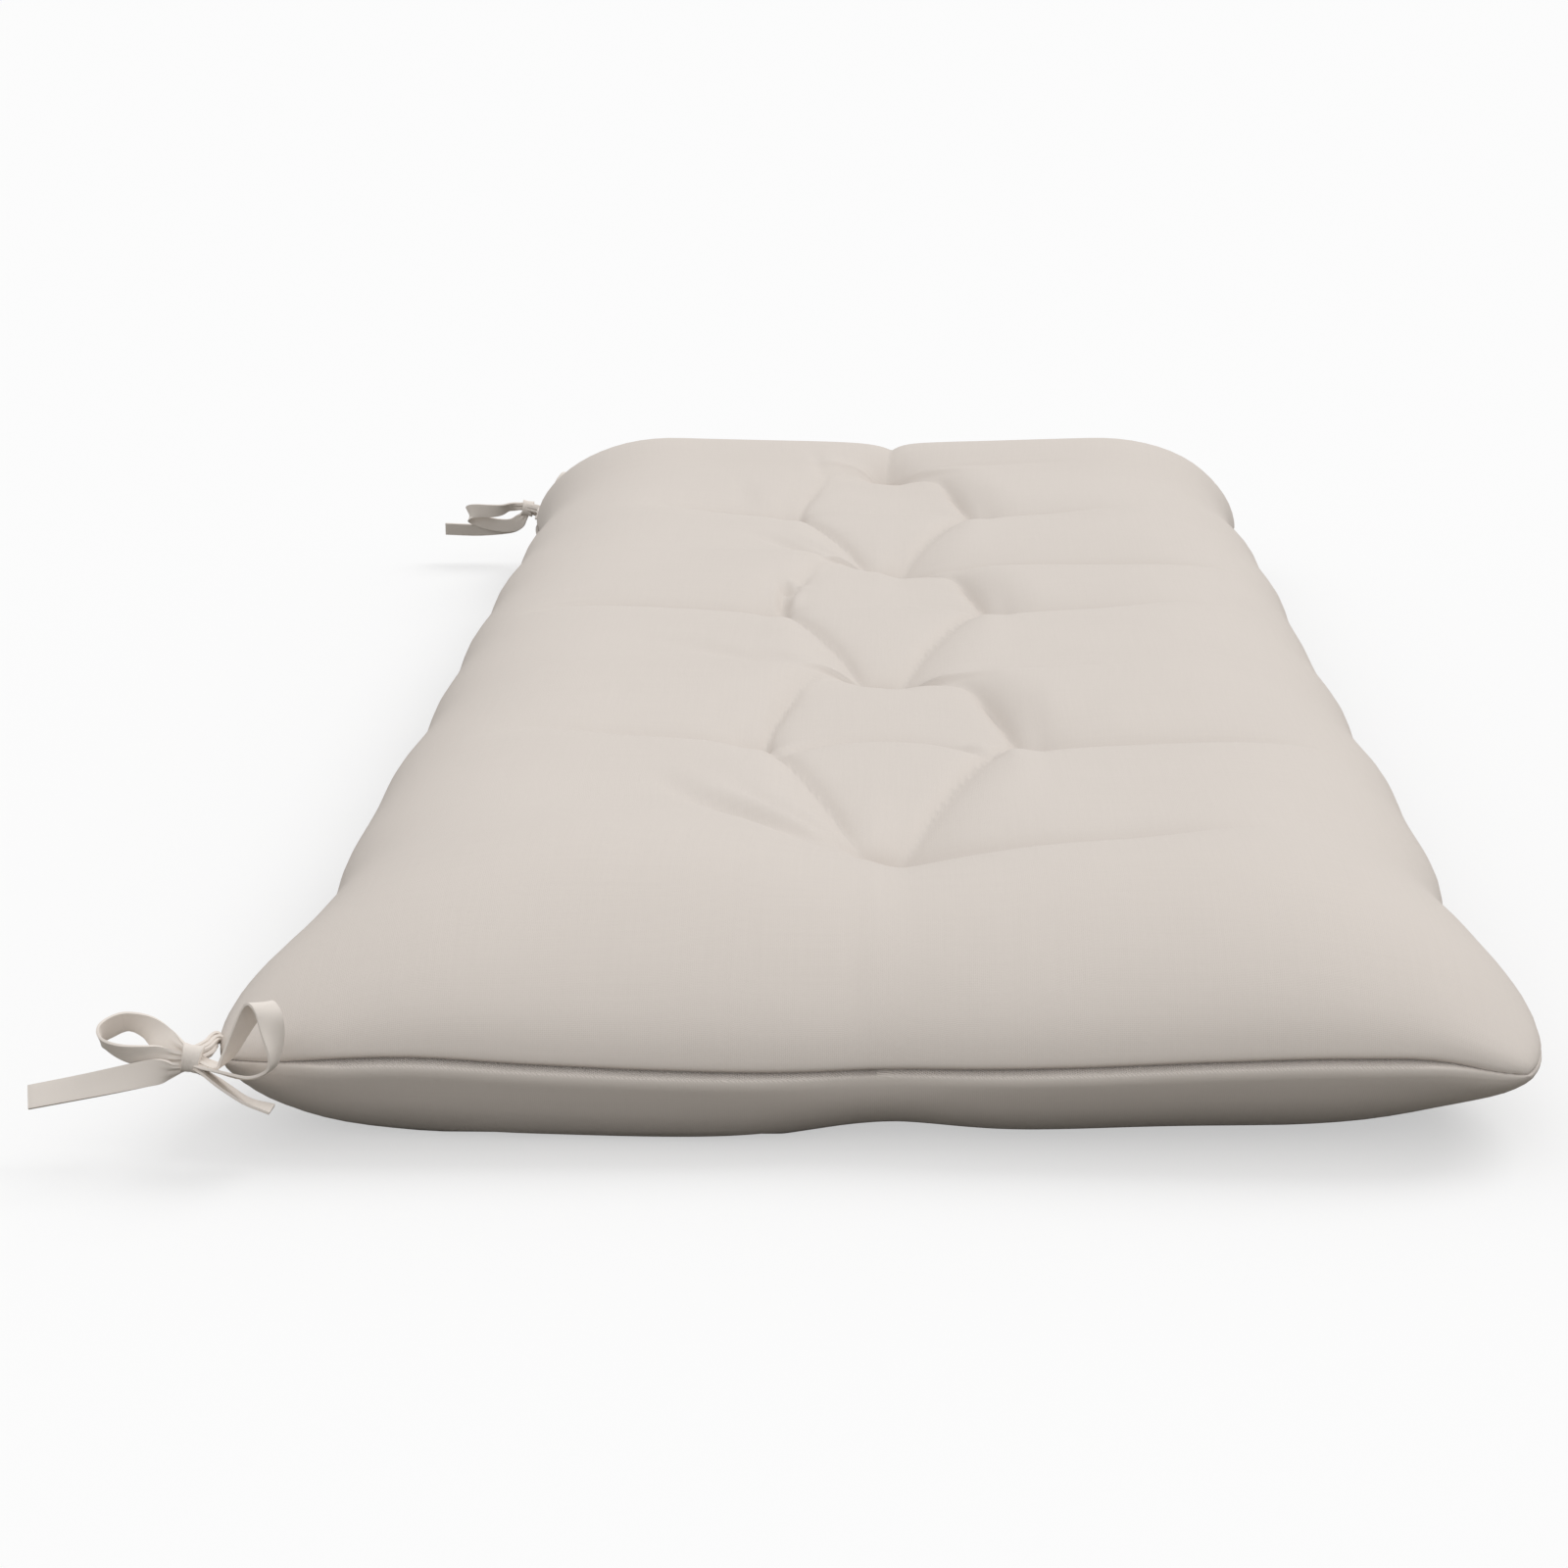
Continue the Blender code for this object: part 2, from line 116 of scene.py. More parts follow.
# Half widths of the sewn outline: ears at the corners, drawn in at the tuft rows
Outline = namedtuple("Outline", "along back front")
OUTLINE = [
    Outline(-0.600, 0.2572, 0.2542),
    Outline(-0.555, 0.2562, 0.2580),
    Outline(-0.500, 0.2415, 0.2490),
    Outline(-0.450, 0.2355, 0.2408),
    Outline(-0.375, 0.2390, 0.2465),
    Outline(-0.300, 0.2388, 0.2458),
    Outline(-0.225, 0.2400, 0.2475),
    Outline(-0.150, 0.2358, 0.2425),
    Outline(-0.075, 0.2382, 0.2448),
    Outline(0.000, 0.2368, 0.2418),
    Outline(0.075, 0.2395, 0.2425),
    Outline(0.150, 0.2372, 0.2420),
    Outline(0.225, 0.2392, 0.2445),
    Outline(0.300, 0.2358, 0.2420),
    Outline(0.375, 0.2375, 0.2425),
    Outline(0.450, 0.2340, 0.2362),
    Outline(0.500, 0.2390, 0.2385),
    Outline(0.555, 0.2480, 0.2470),
    Outline(0.600, 0.2510, 0.2490),
]

# Tuft rows: how far out the two tufts of a pair lie, their depth and how far the dip
# reaches to either end, and the depth and reach of the crease sent to either edge
TuftRow = namedtuple(
    "TuftRow",
    "along back_out front_out deep near_reach far_reach back_deep back_far front_deep front_far",
)
TUFT_ROWS = [
    TuftRow(-0.455, 0.000, 0.000, 0.038, 0.030, 0.040, 0.000, 0.12, 0.021, 0.15),
    TuftRow(-0.270, 0.057, 0.066, 0.010, 0.020, 0.030, 0.011, 0.18, 0.017, 0.20),
    TuftRow(-0.132, 0.000, 0.000, 0.031, 0.012, 0.040, 0.000, 0.12, 0.006, 0.12),
    TuftRow(0.036, 0.058, 0.060, 0.010, 0.020, 0.030, 0.017, 0.20, 0.013, 0.17),
    TuftRow(0.170, 0.000, 0.000, 0.031, 0.012, 0.040, 0.000, 0.12, 0.019, 0.20),
    TuftRow(0.332, 0.058, 0.058, 0.010, 0.020, 0.030, 0.014, 0.15, 0.011, 0.15),
    TuftRow(0.468, 0.000, 0.000, 0.039, 0.012, 0.018, 0.000, 0.12, 0.006, 0.12),
]

# Three diamonds, each from one single tuft round a pair to the next: depth of their
# near and far edges on either side, and of a crease across
Diamond = namedtuple("Diamond", "first_row back_near back_far front_near front_far across")
DIAMONDS = [
    Diamond(0, 0.012, 0.014, 0.012, 0.022, 0.007),
    Diamond(2, 0.013, 0.012, 0.012, 0.022, 0.000),
    Diamond(4, 0.013, 0.010, 0.012, 0.020, 0.000),
]

# On the front side the near edges run a little inside the pair. Towards the tuft that
# closes the diamond its far edges ease off and the floor between them sinks
NEAR_FRONT_SHARE = 0.90
FAR_TUFT_EASED = 0.55
FAR_EASED_OVER = 0.080
FAR_SINK_BACK = 0.0040
FAR_SINK_FRONT = 0.0020
FAR_SINK_OVER = 0.090

# The crease across a diamond bows towards the near end as it runs out from the middle
ACROSS_PAST_PAIR = 0.006
ACROSS_BOW = 11.0
ACROSS_WIDTH = 0.008

# A tuft is a sharp point in a soft dip, and a little wider on its far side
TUFT_POINT_SHARE = 0.65
TUFT_POINT_WIDTH = 0.0055
TUFT_POINT_WIDENS = 0.0020
TUFT_DIP_ROUNDING = 0.010

# A crease to the edge is half sharp and half a wide trough, and fades on its way out
CREASE_SHARP_SHARE = 0.5
CREASE_WIDTH = 0.0065
WIDE_TROUGH = 0.036
WIDE_TROUGH_ROUNDING = 0.012
CREASE_EASED = 0.35
CREASE_EASED_OVER = 0.10

# A diamond's edge: its steep part and the trough outside, how far out the trough fades
# away, the floor held inside, and the steepest run of the edge that counts
EDGE_SHARP_SHARE = 0.65
EDGE_ROUNDING = 0.0008
TROUGH_WIDTH = 0.020
TROUGH_ROUNDING = 0.003
TROUGH_FADES_FROM = 0.010
TROUGH_FADES_TO = 0.038
INNER_CREASE_WIDTH = 0.0042
INNER_FLOOR = 0.50
STEEPEST_EDGE = 2.5

# A diamond's width: how much of it the near tip reaches at once, and how much is left
# off just before the far tuft
NEAR_TIP_WIDTH = 0.20
FAR_NARROWED = 0.36

# The valleys that run on from the first and the last tuft to the ends: the near one is
# wide and soft and fades on its way, the far one is sharp and slants a little
NEAR_VALLEY_EASED = 0.85
NEAR_VALLEY_DEEP = 0.013
NEAR_VALLEY_WIDTH = 0.040
NEAR_VALLEY_ROUNDING = 0.010
FAR_VALLEY_EASED = 0.4
FAR_VALLEY_DEEP = 0.0066
FAR_VALLEY_BACK_WIDTH = 0.010
FAR_VALLEY_FRONT_WIDTH = 0.006
FAR_VALLEY_ROUNDING = 0.0008
FAR_VALLEY_SLANT = 0.07

# Pulled wrinkles that fan out behind the tufts: a line on the upper panel, how
# far it bends, how deep it is and how wide
Wrinkle = namedtuple("Wrinkle", "from_along from_aside to_along to_aside bend deep width")
WRINKLES = [
    Wrinkle(-0.466, 0.016, -0.356, 0.110, -0.09, 0.0044, 0.0066),
    Wrinkle(-0.454, 0.014, -0.376, 0.070, -0.06, 0.0026, 0.0046),
    Wrinkle(-0.140, 0.044, -0.074, 0.146, 0.03, 0.0020, 0.0085),
    Wrinkle(-0.136, 0.040, -0.085, 0.088, 0.04, 0.0010, 0.0070),
    Wrinkle(0.156, 0.024, 0.240, 0.092, -0.02, 0.0028, 0.0058),
    Wrinkle(0.164, 0.014, 0.236, 0.070, -0.04, 0.0020, 0.0048),
    Wrinkle(0.425, 0.044, 0.510, 0.054, 0.00, 0.0010, 0.0050),
    Wrinkle(0.340, 0.092, 0.430, 0.104, 0.00, 0.0010, 0.0080),
    Wrinkle(-0.262, -0.088, -0.170, -0.104, 0.00, 0.0008, 0.0110),
    Wrinkle(-0.262, 0.088, -0.180, 0.070, 0.00, 0.0008, 0.0090),
    Wrinkle(0.042, 0.0600, 0.104, 0.0590, 0.00, 0.0036, 0.0032),
    Wrinkle(0.078, 0.054, 0.098, 0.068, 0.10, 0.0040, 0.0038),
]

# The ridge beside each wrinkle: its distance and breadth in wrinkle widths, its height
RIDGE_OFF = 2.2
RIDGE_BREADTH = 1.4
RIDGE_HIGH = 0.55


def ramp(value, start, stop):
    """0 before start, 1 after stop, smooth in between."""
    part = np.clip((value - start) / (stop - start), 0.0, 1.0)
    return part * part * (3.0 - 2.0 * part)


def smooth_curve(at, stations, values):
    """Values along a smooth curve through the table's stations."""
    slopes = np.gradient(values, stations)
    left = np.clip(np.searchsorted(stations, at) - 1, 0, len(stations) - 2)
    step = stations[left + 1] - stations[left]
    part = np.clip((at - stations[left]) / step, 0.0, 1.0)
    start = (1 + 2 * part) * (1 - part) ** 2 * values[left]
    start_slope = part * (1 - part) ** 2 * step * slopes[left]
    stop = part**2 * (3 - 2 * part) * values[left + 1]
    stop_slope = part**2 * (part - 1) * step * slopes[left + 1]
    return start + start_slope + stop + stop_slope


def half_width(along, aside):
    """Half width of the sewn outline on the side that aside is on."""
    stations = np.array([row.along for row in OUTLINE])
    back = smooth_curve(along, stations, np.array([row.back for row in OUTLINE]))
    front = smooth_curve(along, stations, np.array([row.front for row in OUTLINE]))
    return np.where(aside > 0, back, front)


def fold(distance, deep, width, rounding=0.0015):
    """Depth of a crease at a distance from its line."""
    return deep * np.exp((rounding - np.sqrt(distance**2 + rounding**2)) / width)


def crease(distance, deep):
    """A sharp crease lying in a softer trough."""
    sharp = fold(distance, CREASE_SHARP_SHARE * deep, CREASE_WIDTH)
    return sharp + fold(distance, (1 - CREASE_SHARP_SHARE) * deep, WIDE_TROUGH, WIDE_TROUGH_ROUNDING)


def pleat(outward, deep, held):
    """A diamond's edge: a flat floor inside, held by this edge, and a full pillow outside."""
    steep = np.exp(np.minimum(outward, 0.0) / INNER_CREASE_WIDTH)
    inside = deep * (INNER_FLOOR * held + (1 - INNER_FLOOR) * steep)
    outside = fold(outward, EDGE_SHARP_SHARE * deep, CREASE_WIDTH, EDGE_ROUNDING)
    outside += fold(outward, (1 - EDGE_SHARP_SHARE) * deep, TROUGH_WIDTH, TROUGH_ROUNDING)
    return np.where(outward > 0, outside, inside)


def diamond_edge(along):
    """Share of a diamond's half width: pointed at its near tuft, blunt at its far one."""
    rows = [row.along for row in TUFT_ROWS]
    part = (np.interp(along, rows, np.arange(len(rows))) % 2.0) - 1.0
    from_near = np.clip(1.0 + part, 0.0, 1.0)
    near = NEAR_TIP_WIDTH * (1 - (1 - from_near) ** 24) + (1 - NEAR_TIP_WIDTH) * from_near**1.25
    past = np.clip(part, 0.0, 1.0)
    far = (1.0 - FAR_NARROWED * past**1.2) * (1.0 - past**20)
    return np.where(part < 0, near, far)


def wrinkled(along, aside):
    """Depth of the pulled wrinkles, each fading out at its far end."""
    total = np.zeros_like(along)
    for line in WRINKLES:
        run_along = line.to_along - line.from_along
        run_aside = line.to_aside - line.from_aside
        run = math.hypot(run_along, run_aside)
        out_along = along - line.from_along
        out_aside = aside - line.from_aside
        part = (out_along * run_along + out_aside * run_aside) / run**2
        off = out_along * run_aside / run - out_aside * run_along / run
        bend = line.bend * run * np.sin(np.clip(part, 0, 1) * math.pi)
        shown = ramp(part, -0.05, 0.30) * (1 - ramp(part, 0.35, 1.10))
        groove = np.exp(-(((off - bend) / line.width) ** 2))
        from_ridge = off - bend - RIDGE_OFF * line.width
        ridge = np.exp(-((from_ridge / (RIDGE_BREADTH * line.width)) ** 2))
        total += line.deep * shown * (groove - RIDGE_HIGH * ridge)
    return total


def dips(along, aside):
    """How far tufts, diamond edges and edge creases pull the cloth in."""
    total = np.zeros_like(along)
    away = np.abs(aside)
    for row in TUFT_ROWS:
        for tuft in {row.back_out, -row.front_out}:
            from_tuft = np.hypot(along - row.along, aside - tuft)
            past = ramp(along - row.along, -0.010, 0.020)
            width = TUFT_POINT_WIDTH + TUFT_POINT_WIDENS * past
            total += fold(from_tuft, TUFT_POINT_SHARE * row.deep, width)
            reach = row.near_reach + (row.far_reach - row.near_reach) * past
            total += fold(from_tuft, (1 - TUFT_POINT_SHARE) * row.deep, reach, TUFT_DIP_ROUNDING)
        to_back = (1, row.back_out, row.back_deep, row.back_far)
        to_front = (-1, row.front_out, row.front_deep, row.front_far)
        for side, out, deep, far in (to_back, to_front):
            begun = ramp(side * aside, out - 0.006, out + 0.012)
            eased = 1 - CREASE_EASED * ramp(away, out, out + CREASE_EASED_OVER)
            reach = 1 - ramp(away, far - 0.06, far + 0.03)
            total += begun * eased * reach * crease(along - row.along, deep)

    edge = diamond_edge(along)
    edge_slope = np.gradient(edge, axis=0) / np.gradient(along, axis=0)
    for diamond in DIAMONDS:
        start, pair, stop = TUFT_ROWS[diamond.first_row :][:3]
        within = ramp(along, start.along - 0.008, start.along + 0.004)
        within *= 1 - ramp(along, stop.along - 0.004, stop.along + 0.008)
        to_far = ramp(along, pair.along - 0.010, pair.along + 0.010)
        at_back = (1, pair.back_out, diamond.back_near, diamond.back_far)
        at_front = (-1, pair.front_out, diamond.front_near, diamond.front_far)
        for side, out, near_deep, far_deep in (at_back, at_front):
            share = NEAR_FRONT_SHARE if side < 0 else 1.0
            beyond = side * aside - out * edge * (share + (1 - share) * to_far)
            steep = np.sqrt(1 + np.clip(out * edge_slope, -STEEPEST_EDGE, STEEPEST_EDGE) ** 2)
            deep = near_deep + (far_deep - near_deep) * to_far
            eased = ramp(along, stop.along - FAR_EASED_OVER, stop.along)
            deep = deep * (1 - FAR_TUFT_EASED * eased)
            across = out * edge + 0.0005
            held = ramp(side * aside / across, -1.0, 1.0)
            shown = within * (1 - ramp(beyond, TROUGH_FADES_FROM, TROUGH_FADES_TO))
            total += shown * pleat(beyond / steep, deep, held)
            sunk = FAR_SINK_BACK if side > 0 else FAR_SINK_FRONT
            sunk = sunk * ramp(along, stop.along - FAR_SINK_OVER, stop.along - 0.010)
            sunk = sunk * ramp(side * aside, -0.02, 0.02)
            total += within * ramp(-beyond, -0.004, 0.010) * sunk
        inside = ramp(pair.back_out - away, -0.005, 0.020)
        from_across = along - pair.along - ACROSS_PAST_PAIR + ACROSS_BOW * aside**2
        total += inside * fold(from_across, diamond.across, ACROSS_WIDTH)

    last = TUFT_ROWS[-1].along
    begun = ramp(along, last - 0.005, last + 0.015)
    eased = 1 - FAR_VALLEY_EASED * ramp(along, last + 0.02, 0.59)
    beside = aside + FAR_VALLEY_SLANT * (along - last)
    width = np.where(beside > 0, FAR_VALLEY_BACK_WIDTH, FAR_VALLEY_FRONT_WIDTH)
    total += begun * eased * fold(beside, FAR_VALLEY_DEEP, width, FAR_VALLEY_ROUNDING)
    first = TUFT_ROWS[0].along
    begun = ramp(-along, -first - 0.015, -first + 0.010)
    eased = 1 - NEAR_VALLEY_EASED * ramp(-along, 0.01 - first, 0.57)
    total += begun * eased * fold(aside, NEAR_VALLEY_DEEP, NEAR_VALLEY_WIDTH, NEAR_VALLEY_ROUNDING)
    return DEEPEST_DIP * (1 - np.exp(-total / DEEPEST_DIP))


def roll(inward, reach, fullness=2.1):
    """Rounded rise from the seam to the full height, reach metres inward."""
    part = np.clip(inward / reach, 0.0, 1.0)
    return np.maximum(0.0, 1 - (1 - part) ** fullness) ** (1 / fullness)


def top_rise(along, aside):
    """Height of the upper panel above the seam."""
    near = np.exp(-(((along - NEAR_PUFF_AT) / NEAR_PUFF_SPREAD) ** 2))
    far = np.exp(-(((along - FAR_PUFF_AT) / FAR_PUFF_SPREAD) ** 2))
    at_end = roll(HALF_LENGTH - np.abs(along), TOP_END_REACH - FAR_REACH_LESS * far, 2.0)
    at_side = roll(HALF_DEPTH - np.abs(aside), TOP_SIDE_REACH + NEAR_REACH_MORE * near)
    full = CROWN + NEAR_END_PUFF * near + FAR_END_PUFF * far
    crown = full * at_end * at_side
    pulled = dips(along, aside) + wrinkled(along, aside)
    return crown - pulled * np.minimum(1.0, crown / TOP_DIPS_FULL_AT)


def under_drop(along, aside):
    """Depth of the lower panel below the seam, before the surface flattens it."""
    lifted = MIDDLE_LIFT * np.exp(-((aside / MIDDLE_LIFT_SPREAD) ** 2))
    lifted += FRONT_LIFT * np.exp(-(((aside - FRONT_LIFT_AT) / FRONT_LIFT_SPREAD) ** 2))
    reach = UNDER_END_REACH - UNDER_END_SKEW * aside + lifted
    at_end = roll(HALF_LENGTH - np.abs(along), reach)
    at_side = roll(HALF_DEPTH - np.abs(aside), UNDER_SIDE_REACH)
    swell = UNDERSIDE_SWELL * at_end * at_side
    pulled = UNDERSIDE_SHARE * dips(along, aside) * np.minimum(1.0, swell / UNDER_DIPS_FULL_AT)
    return np.maximum(0.0, swell - pulled)


# Height of the seam along the near end, where the photo shows it rise and fall
SeamPoint = namedtuple("SeamPoint", "aside height")
NEAR_SEAM = [
    SeamPoint(-0.260, 0.0350),
    SeamPoint(-0.245, 0.0368),
    SeamPoint(-0.220, 0.0415),
    SeamPoint(-0.180, 0.0423),
    SeamPoint(-0.130, 0.0402),
    SeamPoint(-0.075, 0.0371),
    SeamPoint(-0.020, 0.0351),
    SeamPoint(0.020, 0.0337),
    SeamPoint(0.080, 0.0343),
    SeamPoint(0.130, 0.0364),
    SeamPoint(0.180, 0.0390),
    SeamPoint(0.210, 0.0380),
    SeamPoint(0.260, 0.0365),
]


def seam_height(along, aside):
    """The edge seam wanders up and down a little along each end."""
    stations = np.array([point.aside for point in NEAR_SEAM])
    heights = np.array([point.height for point in NEAR_SEAM])
    wander = smooth_curve(aside, stations, heights) - SEAM_HEIGHT
    return SEAM_HEIGHT + wander * ramp(np.abs(along), 0.47, HALF_LENGTH)


def plan_place(along, aside):
    """Where a point of the cover lies seen from above, inside the sewn outline."""
    # The powers keep the drawn-in ends and the rounding close to the edge
    end = np.abs(along) / HALF_LENGTH
    side = np.abs(aside) / HALF_DEPTH
    drawn = END_DRAWN_IN * end**6 * (1 - side**2 + np.exp(-((aside / 0.03) ** 2)))
    x = along - np.sign(along) * (drawn + CORNER_ROUND * side**12 * end**30)
    corner = CORNER_ROUND * end**28 * side**3
    y = aside / HALF_DEPTH * half_width(along, aside) - np.sign(aside) * corner
    return x, y


# The seam lies in a narrow groove: the upper panel tucks in above it, and the lower one
# comes out of it as a rounded shoulder, less so where the end is drawn in. At the
# corners the groove is shallow, and the panel above it noses out instead
STANDS_OUT = 0.0004
TUCK = 0.0034
TUCK_HEIGHT = 0.0013
LOWER_LIP = 0.00045
SHOULDER_OUT = 0.0030
SHOULDER_DOWN = 0.0030
SHOULDER_HEIGHT = 0.0068
CORNER_TUCK_EASED = 0.8
CORNER_ALONG = (0.555, 0.590)
CORNER_ASIDE = (0.200, 0.238)
NOSE = 0.0022
NOSE_HEIGHT = 0.0090
MIDDLE_FLAT = 0.85
MIDDLE_FLAT_AT = 0.002
MIDDLE_FLAT_SPREAD = 0.035
CORNER_FLAT = 0.7


def at_corner(along, aside):
    """1 at the four corners, 0 a few centimetres from them."""
    return ramp(np.abs(along), *CORNER_ALONG) * ramp(np.abs(aside), *CORNER_ASIDE)


def seam_profile(height, along, aside):
    """How far the cover stands out at a height above (or below) the seam line."""
    corner = at_corner(along, aside)
    tuck = TUCK * (1 - CORNER_TUCK_EASED * corner)
    above = -tuck * np.exp(-((np.maximum(height, 0.0) / TUCK_HEIGHT) ** 1.5))
    above += NOSE * corner * np.exp(-(((height - NOSE_HEIGHT) / NOSE_HEIGHT) ** 2))
    middle = MIDDLE_FLAT * np.exp(-(((aside - MIDDLE_FLAT_AT) / MIDDLE_FLAT_SPREAD) ** 2))
    sides = CORNER_FLAT * ramp(np.abs(aside), 0.20, HALF_DEPTH)
    shoulder = SHOULDER_OUT * (1 - middle - sides)
    shoulder = shoulder * np.exp(-(((height + SHOULDER_DOWN) / SHOULDER_HEIGHT) ** 2))
    below = shoulder - tuck * np.exp(-np.maximum(-height, 0.0) / LOWER_LIP)
    return np.where(height >= 0.0, above + STANDS_OUT, below + STANDS_OUT)


# Heights in millimetres at which lines follow the groove and its lips, and where the
# evenly spaced ones take over
GROOVE_LINES = (0.0, 0.4, 0.8, 1.2, 1.6, 2.1, 2.7, 3.4, 4.3, 5.5)
EVEN_FROM = 1.3


def rolled_lines(reach, steps):
    """Distances from the seam whose heights on the rolled edge are evenly spaced."""
    angle = np.linspace(0.0, math.pi / 2, steps + 1)[1:]
    close = np.array(GROOVE_LINES) / 1000
    close = reach * (1 - np.sqrt(1 - (close / CROWN) ** 2))
    even = reach * (1 - np.cos(angle))
    return np.concatenate([close, even[even > close[-1] * EVEN_FROM]])


def cloth_run(x, y, z, axis):
    """Length measured on the cloth from its middle, along one way of the weave."""
    squares = [np.diff(part, axis=axis) ** 2 for part in (x, y, z)]
    step = np.sqrt(squares[0] + squares[1] + squares[2])
    run = np.cumsum(step, axis=axis)
    run = np.insert(run, 0, 0.0, axis=axis)
    middle = run.take(run.shape[axis] // 2, axis=axis)
    return run - np.expand_dims(middle, axis)


# Lines of the cover's grid: close together at the edge, and gathered at the tuft rows
EDGE_STEPS = 16
ALONG_STEPS = 30
SHORT_STRETCH = 0.05
SHORT_STEPS = 6
ASIDE_STEPS = 50
SIDE_STEPS = 22
GATHERED_AT_ROWS = 0.7
END_EDGE = 0.125
SIDE_EDGE = 0.105
DIAMONDS_OUT = 0.080

edge_lines = rolled_lines(END_EDGE, EDGE_STEPS)
rows = [row.along for row in TUFT_ROWS]
rows = [-HALF_LENGTH + edge_lines[-1], *rows, HALF_LENGTH - edge_lines[-1]]
even = np.linspace(0.0, 1.0, ALONG_STEPS + 1)[1:]
gathered = even - GATHERED_AT_ROWS * np.sin(2 * math.pi * even) / (2 * math.pi)
along_lines = [*(-HALF_LENGTH + edge_lines)]
for start, stop in zip(rows, rows[1:]):
    if stop - start > SHORT_STRETCH:
        along_lines.extend(start + gathered * (stop - start))
    else:
        along_lines.extend(np.linspace(start, stop, SHORT_STEPS + 1)[1:])
along_lines = np.array([*along_lines[:-1], *(HALF_LENGTH - edge_lines[::-1])])
along_lines = np.unique(np.round(along_lines, 7))

edge_lines = rolled_lines(SIDE_EDGE, EDGE_STEPS)
inner = HALF_DEPTH - edge_lines[-1]
aside_half = np.concatenate([
    np.linspace(0.0, DIAMONDS_OUT, ASIDE_STEPS + 1)[:-1],
    np.linspace(DIAMONDS_OUT, inner, SIDE_STEPS + 1)[:-1],
    HALF_DEPTH - edge_lines[::-1],
])
aside_lines = np.concatenate([-aside_half[:0:-1], aside_half])

along, aside = np.meshgrid(along_lines, aside_lines, indexing="ij")
plan_x, plan_y = plan_place(along, aside)
seam = seam_height(along, aside)

# The groove's in and out fades within a centimetre of the edge, and the painted shade
# along the seam line is narrower at the corners
RIM_FADE = 0.010
CORNER_LINE_NARROWED = 5

out_x = np.sign(along) * np.exp(-((HALF_LENGTH - np.abs(along)) / RIM_FADE) ** 2)
out_y = np.sign(aside) * np.exp(-((HALF_DEPTH - np.abs(aside)) / RIM_FADE) ** 2)
at_seam = (np.abs(along) >= HALF_LENGTH) | (np.abs(aside) >= HALF_DEPTH)
corner = at_corner(along, aside)
groove_out = STANDS_OUT - TUCK * (1 - CORNER_TUCK_EASED * corner)

panels = []
for height in (top_rise(along, aside), -under_drop(along, aside)):
    height = np.where(at_seam, 0.0, height)
    out = np.where(at_seam, groove_out, seam_profile(height, along, aside))
    x, y, z = plan_x + out_x * out, plan_y + out_y * out, np.maximum(0.0, seam + height)
    seam_distance = height * (1 + CORNER_LINE_NARROWED * corner)
    panels.append((x, y, z, cloth_run(x, y, z, 0), cloth_run(x, y, z, 1), seam_distance))

# How deep each point lies in a fold, kept for the cloth's painted shade there
fold_depth_for_shade = dips(along, aside) / DEEPEST_DIP
cover = bmesh.new()
nx, ny = along.shape
from_seam = cover.verts.layers.float.new("from_seam")
fold_shade_depth = cover.verts.layers.float.new("fold_shade_depth")
weave_map = cover.loops.layers.uv.new("weave")
for x, y, z, run_along, run_aside, seam_distance in panels:
    made = bmesh.ops.create_grid(cover, x_segments=nx - 1, y_segments=ny - 1, size=1.0)
    weave_at = {}
    for vert in made["verts"]:
        i = round((vert.co.x + 1) / 2 * (nx - 1))
        j = round((vert.co.y + 1) / 2 * (ny - 1))
        vert.co = (x[i, j], y[i, j], z[i, j])
        vert[from_seam] = seam_distance[i, j]
        vert[fold_shade_depth] = fold_depth_for_shade[i, j]
        weave_at[vert] = (run_along[i, j], run_aside[i, j])
    for face in {face for vert in made["verts"] for face in vert.link_faces}:
        for loop in face.loops:
            loop[weave_map].uv = weave_at[loop.vert]
rim = [vert for vert in cover.verts if vert.is_boundary]
bmesh.ops.remove_doubles(cover, verts=rim, dist=1e-6)
bmesh.ops.recalc_face_normals(cover, faces=cover.faces)
cushion_mesh = bpy.data.meshes.new("cushion_cover")
cover.to_mesh(cushion_mesh)
cover.free()
cushion_mesh.shade_smooth()
cushion_cover = bpy.data.objects.new("cushion_cover", cushion_mesh)
bpy.context.scene.collection.objects.link(cushion_cover)


def math_node(tree, operation, *values):
    """A Math node whose inputs are sockets or constants; its output socket."""
    node = tree.nodes.new("ShaderNodeMath")
    node.operation = operation
    for socket, value in zip(node.inputs, values):
        if isinstance(value, (int, float)):
            socket.default_value = value
        else:
            tree.links.new(value, socket)
    return node.outputs[0]


def colour_between(tree, light, dark, factor, shader):
    """The shader's base colour between a light and a dark tone, by a factor."""
    tone = tree.nodes.new("ShaderNodeMix")
    tone.data_type = "RGBA"
    tone.inputs["A"].default_value = light
    tone.inputs["B"].default_value = dark
    tree.links.new(factor, tone.inputs["Factor"])
    tree.links.new(tone.outputs["Result"], shader.inputs["Base Color"])


def raise_relief(tree, relief, strength, shader):
    """The shader's bump, from a relief in metres."""
    bump = tree.nodes.new("ShaderNodeBump")
    bump.inputs["Strength"].default_value = strength
    bump.inputs["Distance"].default_value = 1.0
    tree.links.new(relief, bump.inputs["Height"])
    tree.links.new(bump.outputs["Normal"], shader.inputs["Normal"])


def matt_cotton(shader):
    """A dry surface with hardly any shine and a trace of fuzz."""
    shader.inputs["Roughness"].default_value = 0.95
    shader.inputs["Specular IOR Level"].default_value = 0.12
    shader.inputs["Sheen Weight"].default_value = 0.08
    shader.inputs["Sheen Roughness"].default_value = 0.45


# Uneven threads are streaks, long one way and fine the other; slow clouds lie over them
STREAK_LONG = 14.0
STREAK_FINE = 900.0
CLOUD_SCALE = 9.0


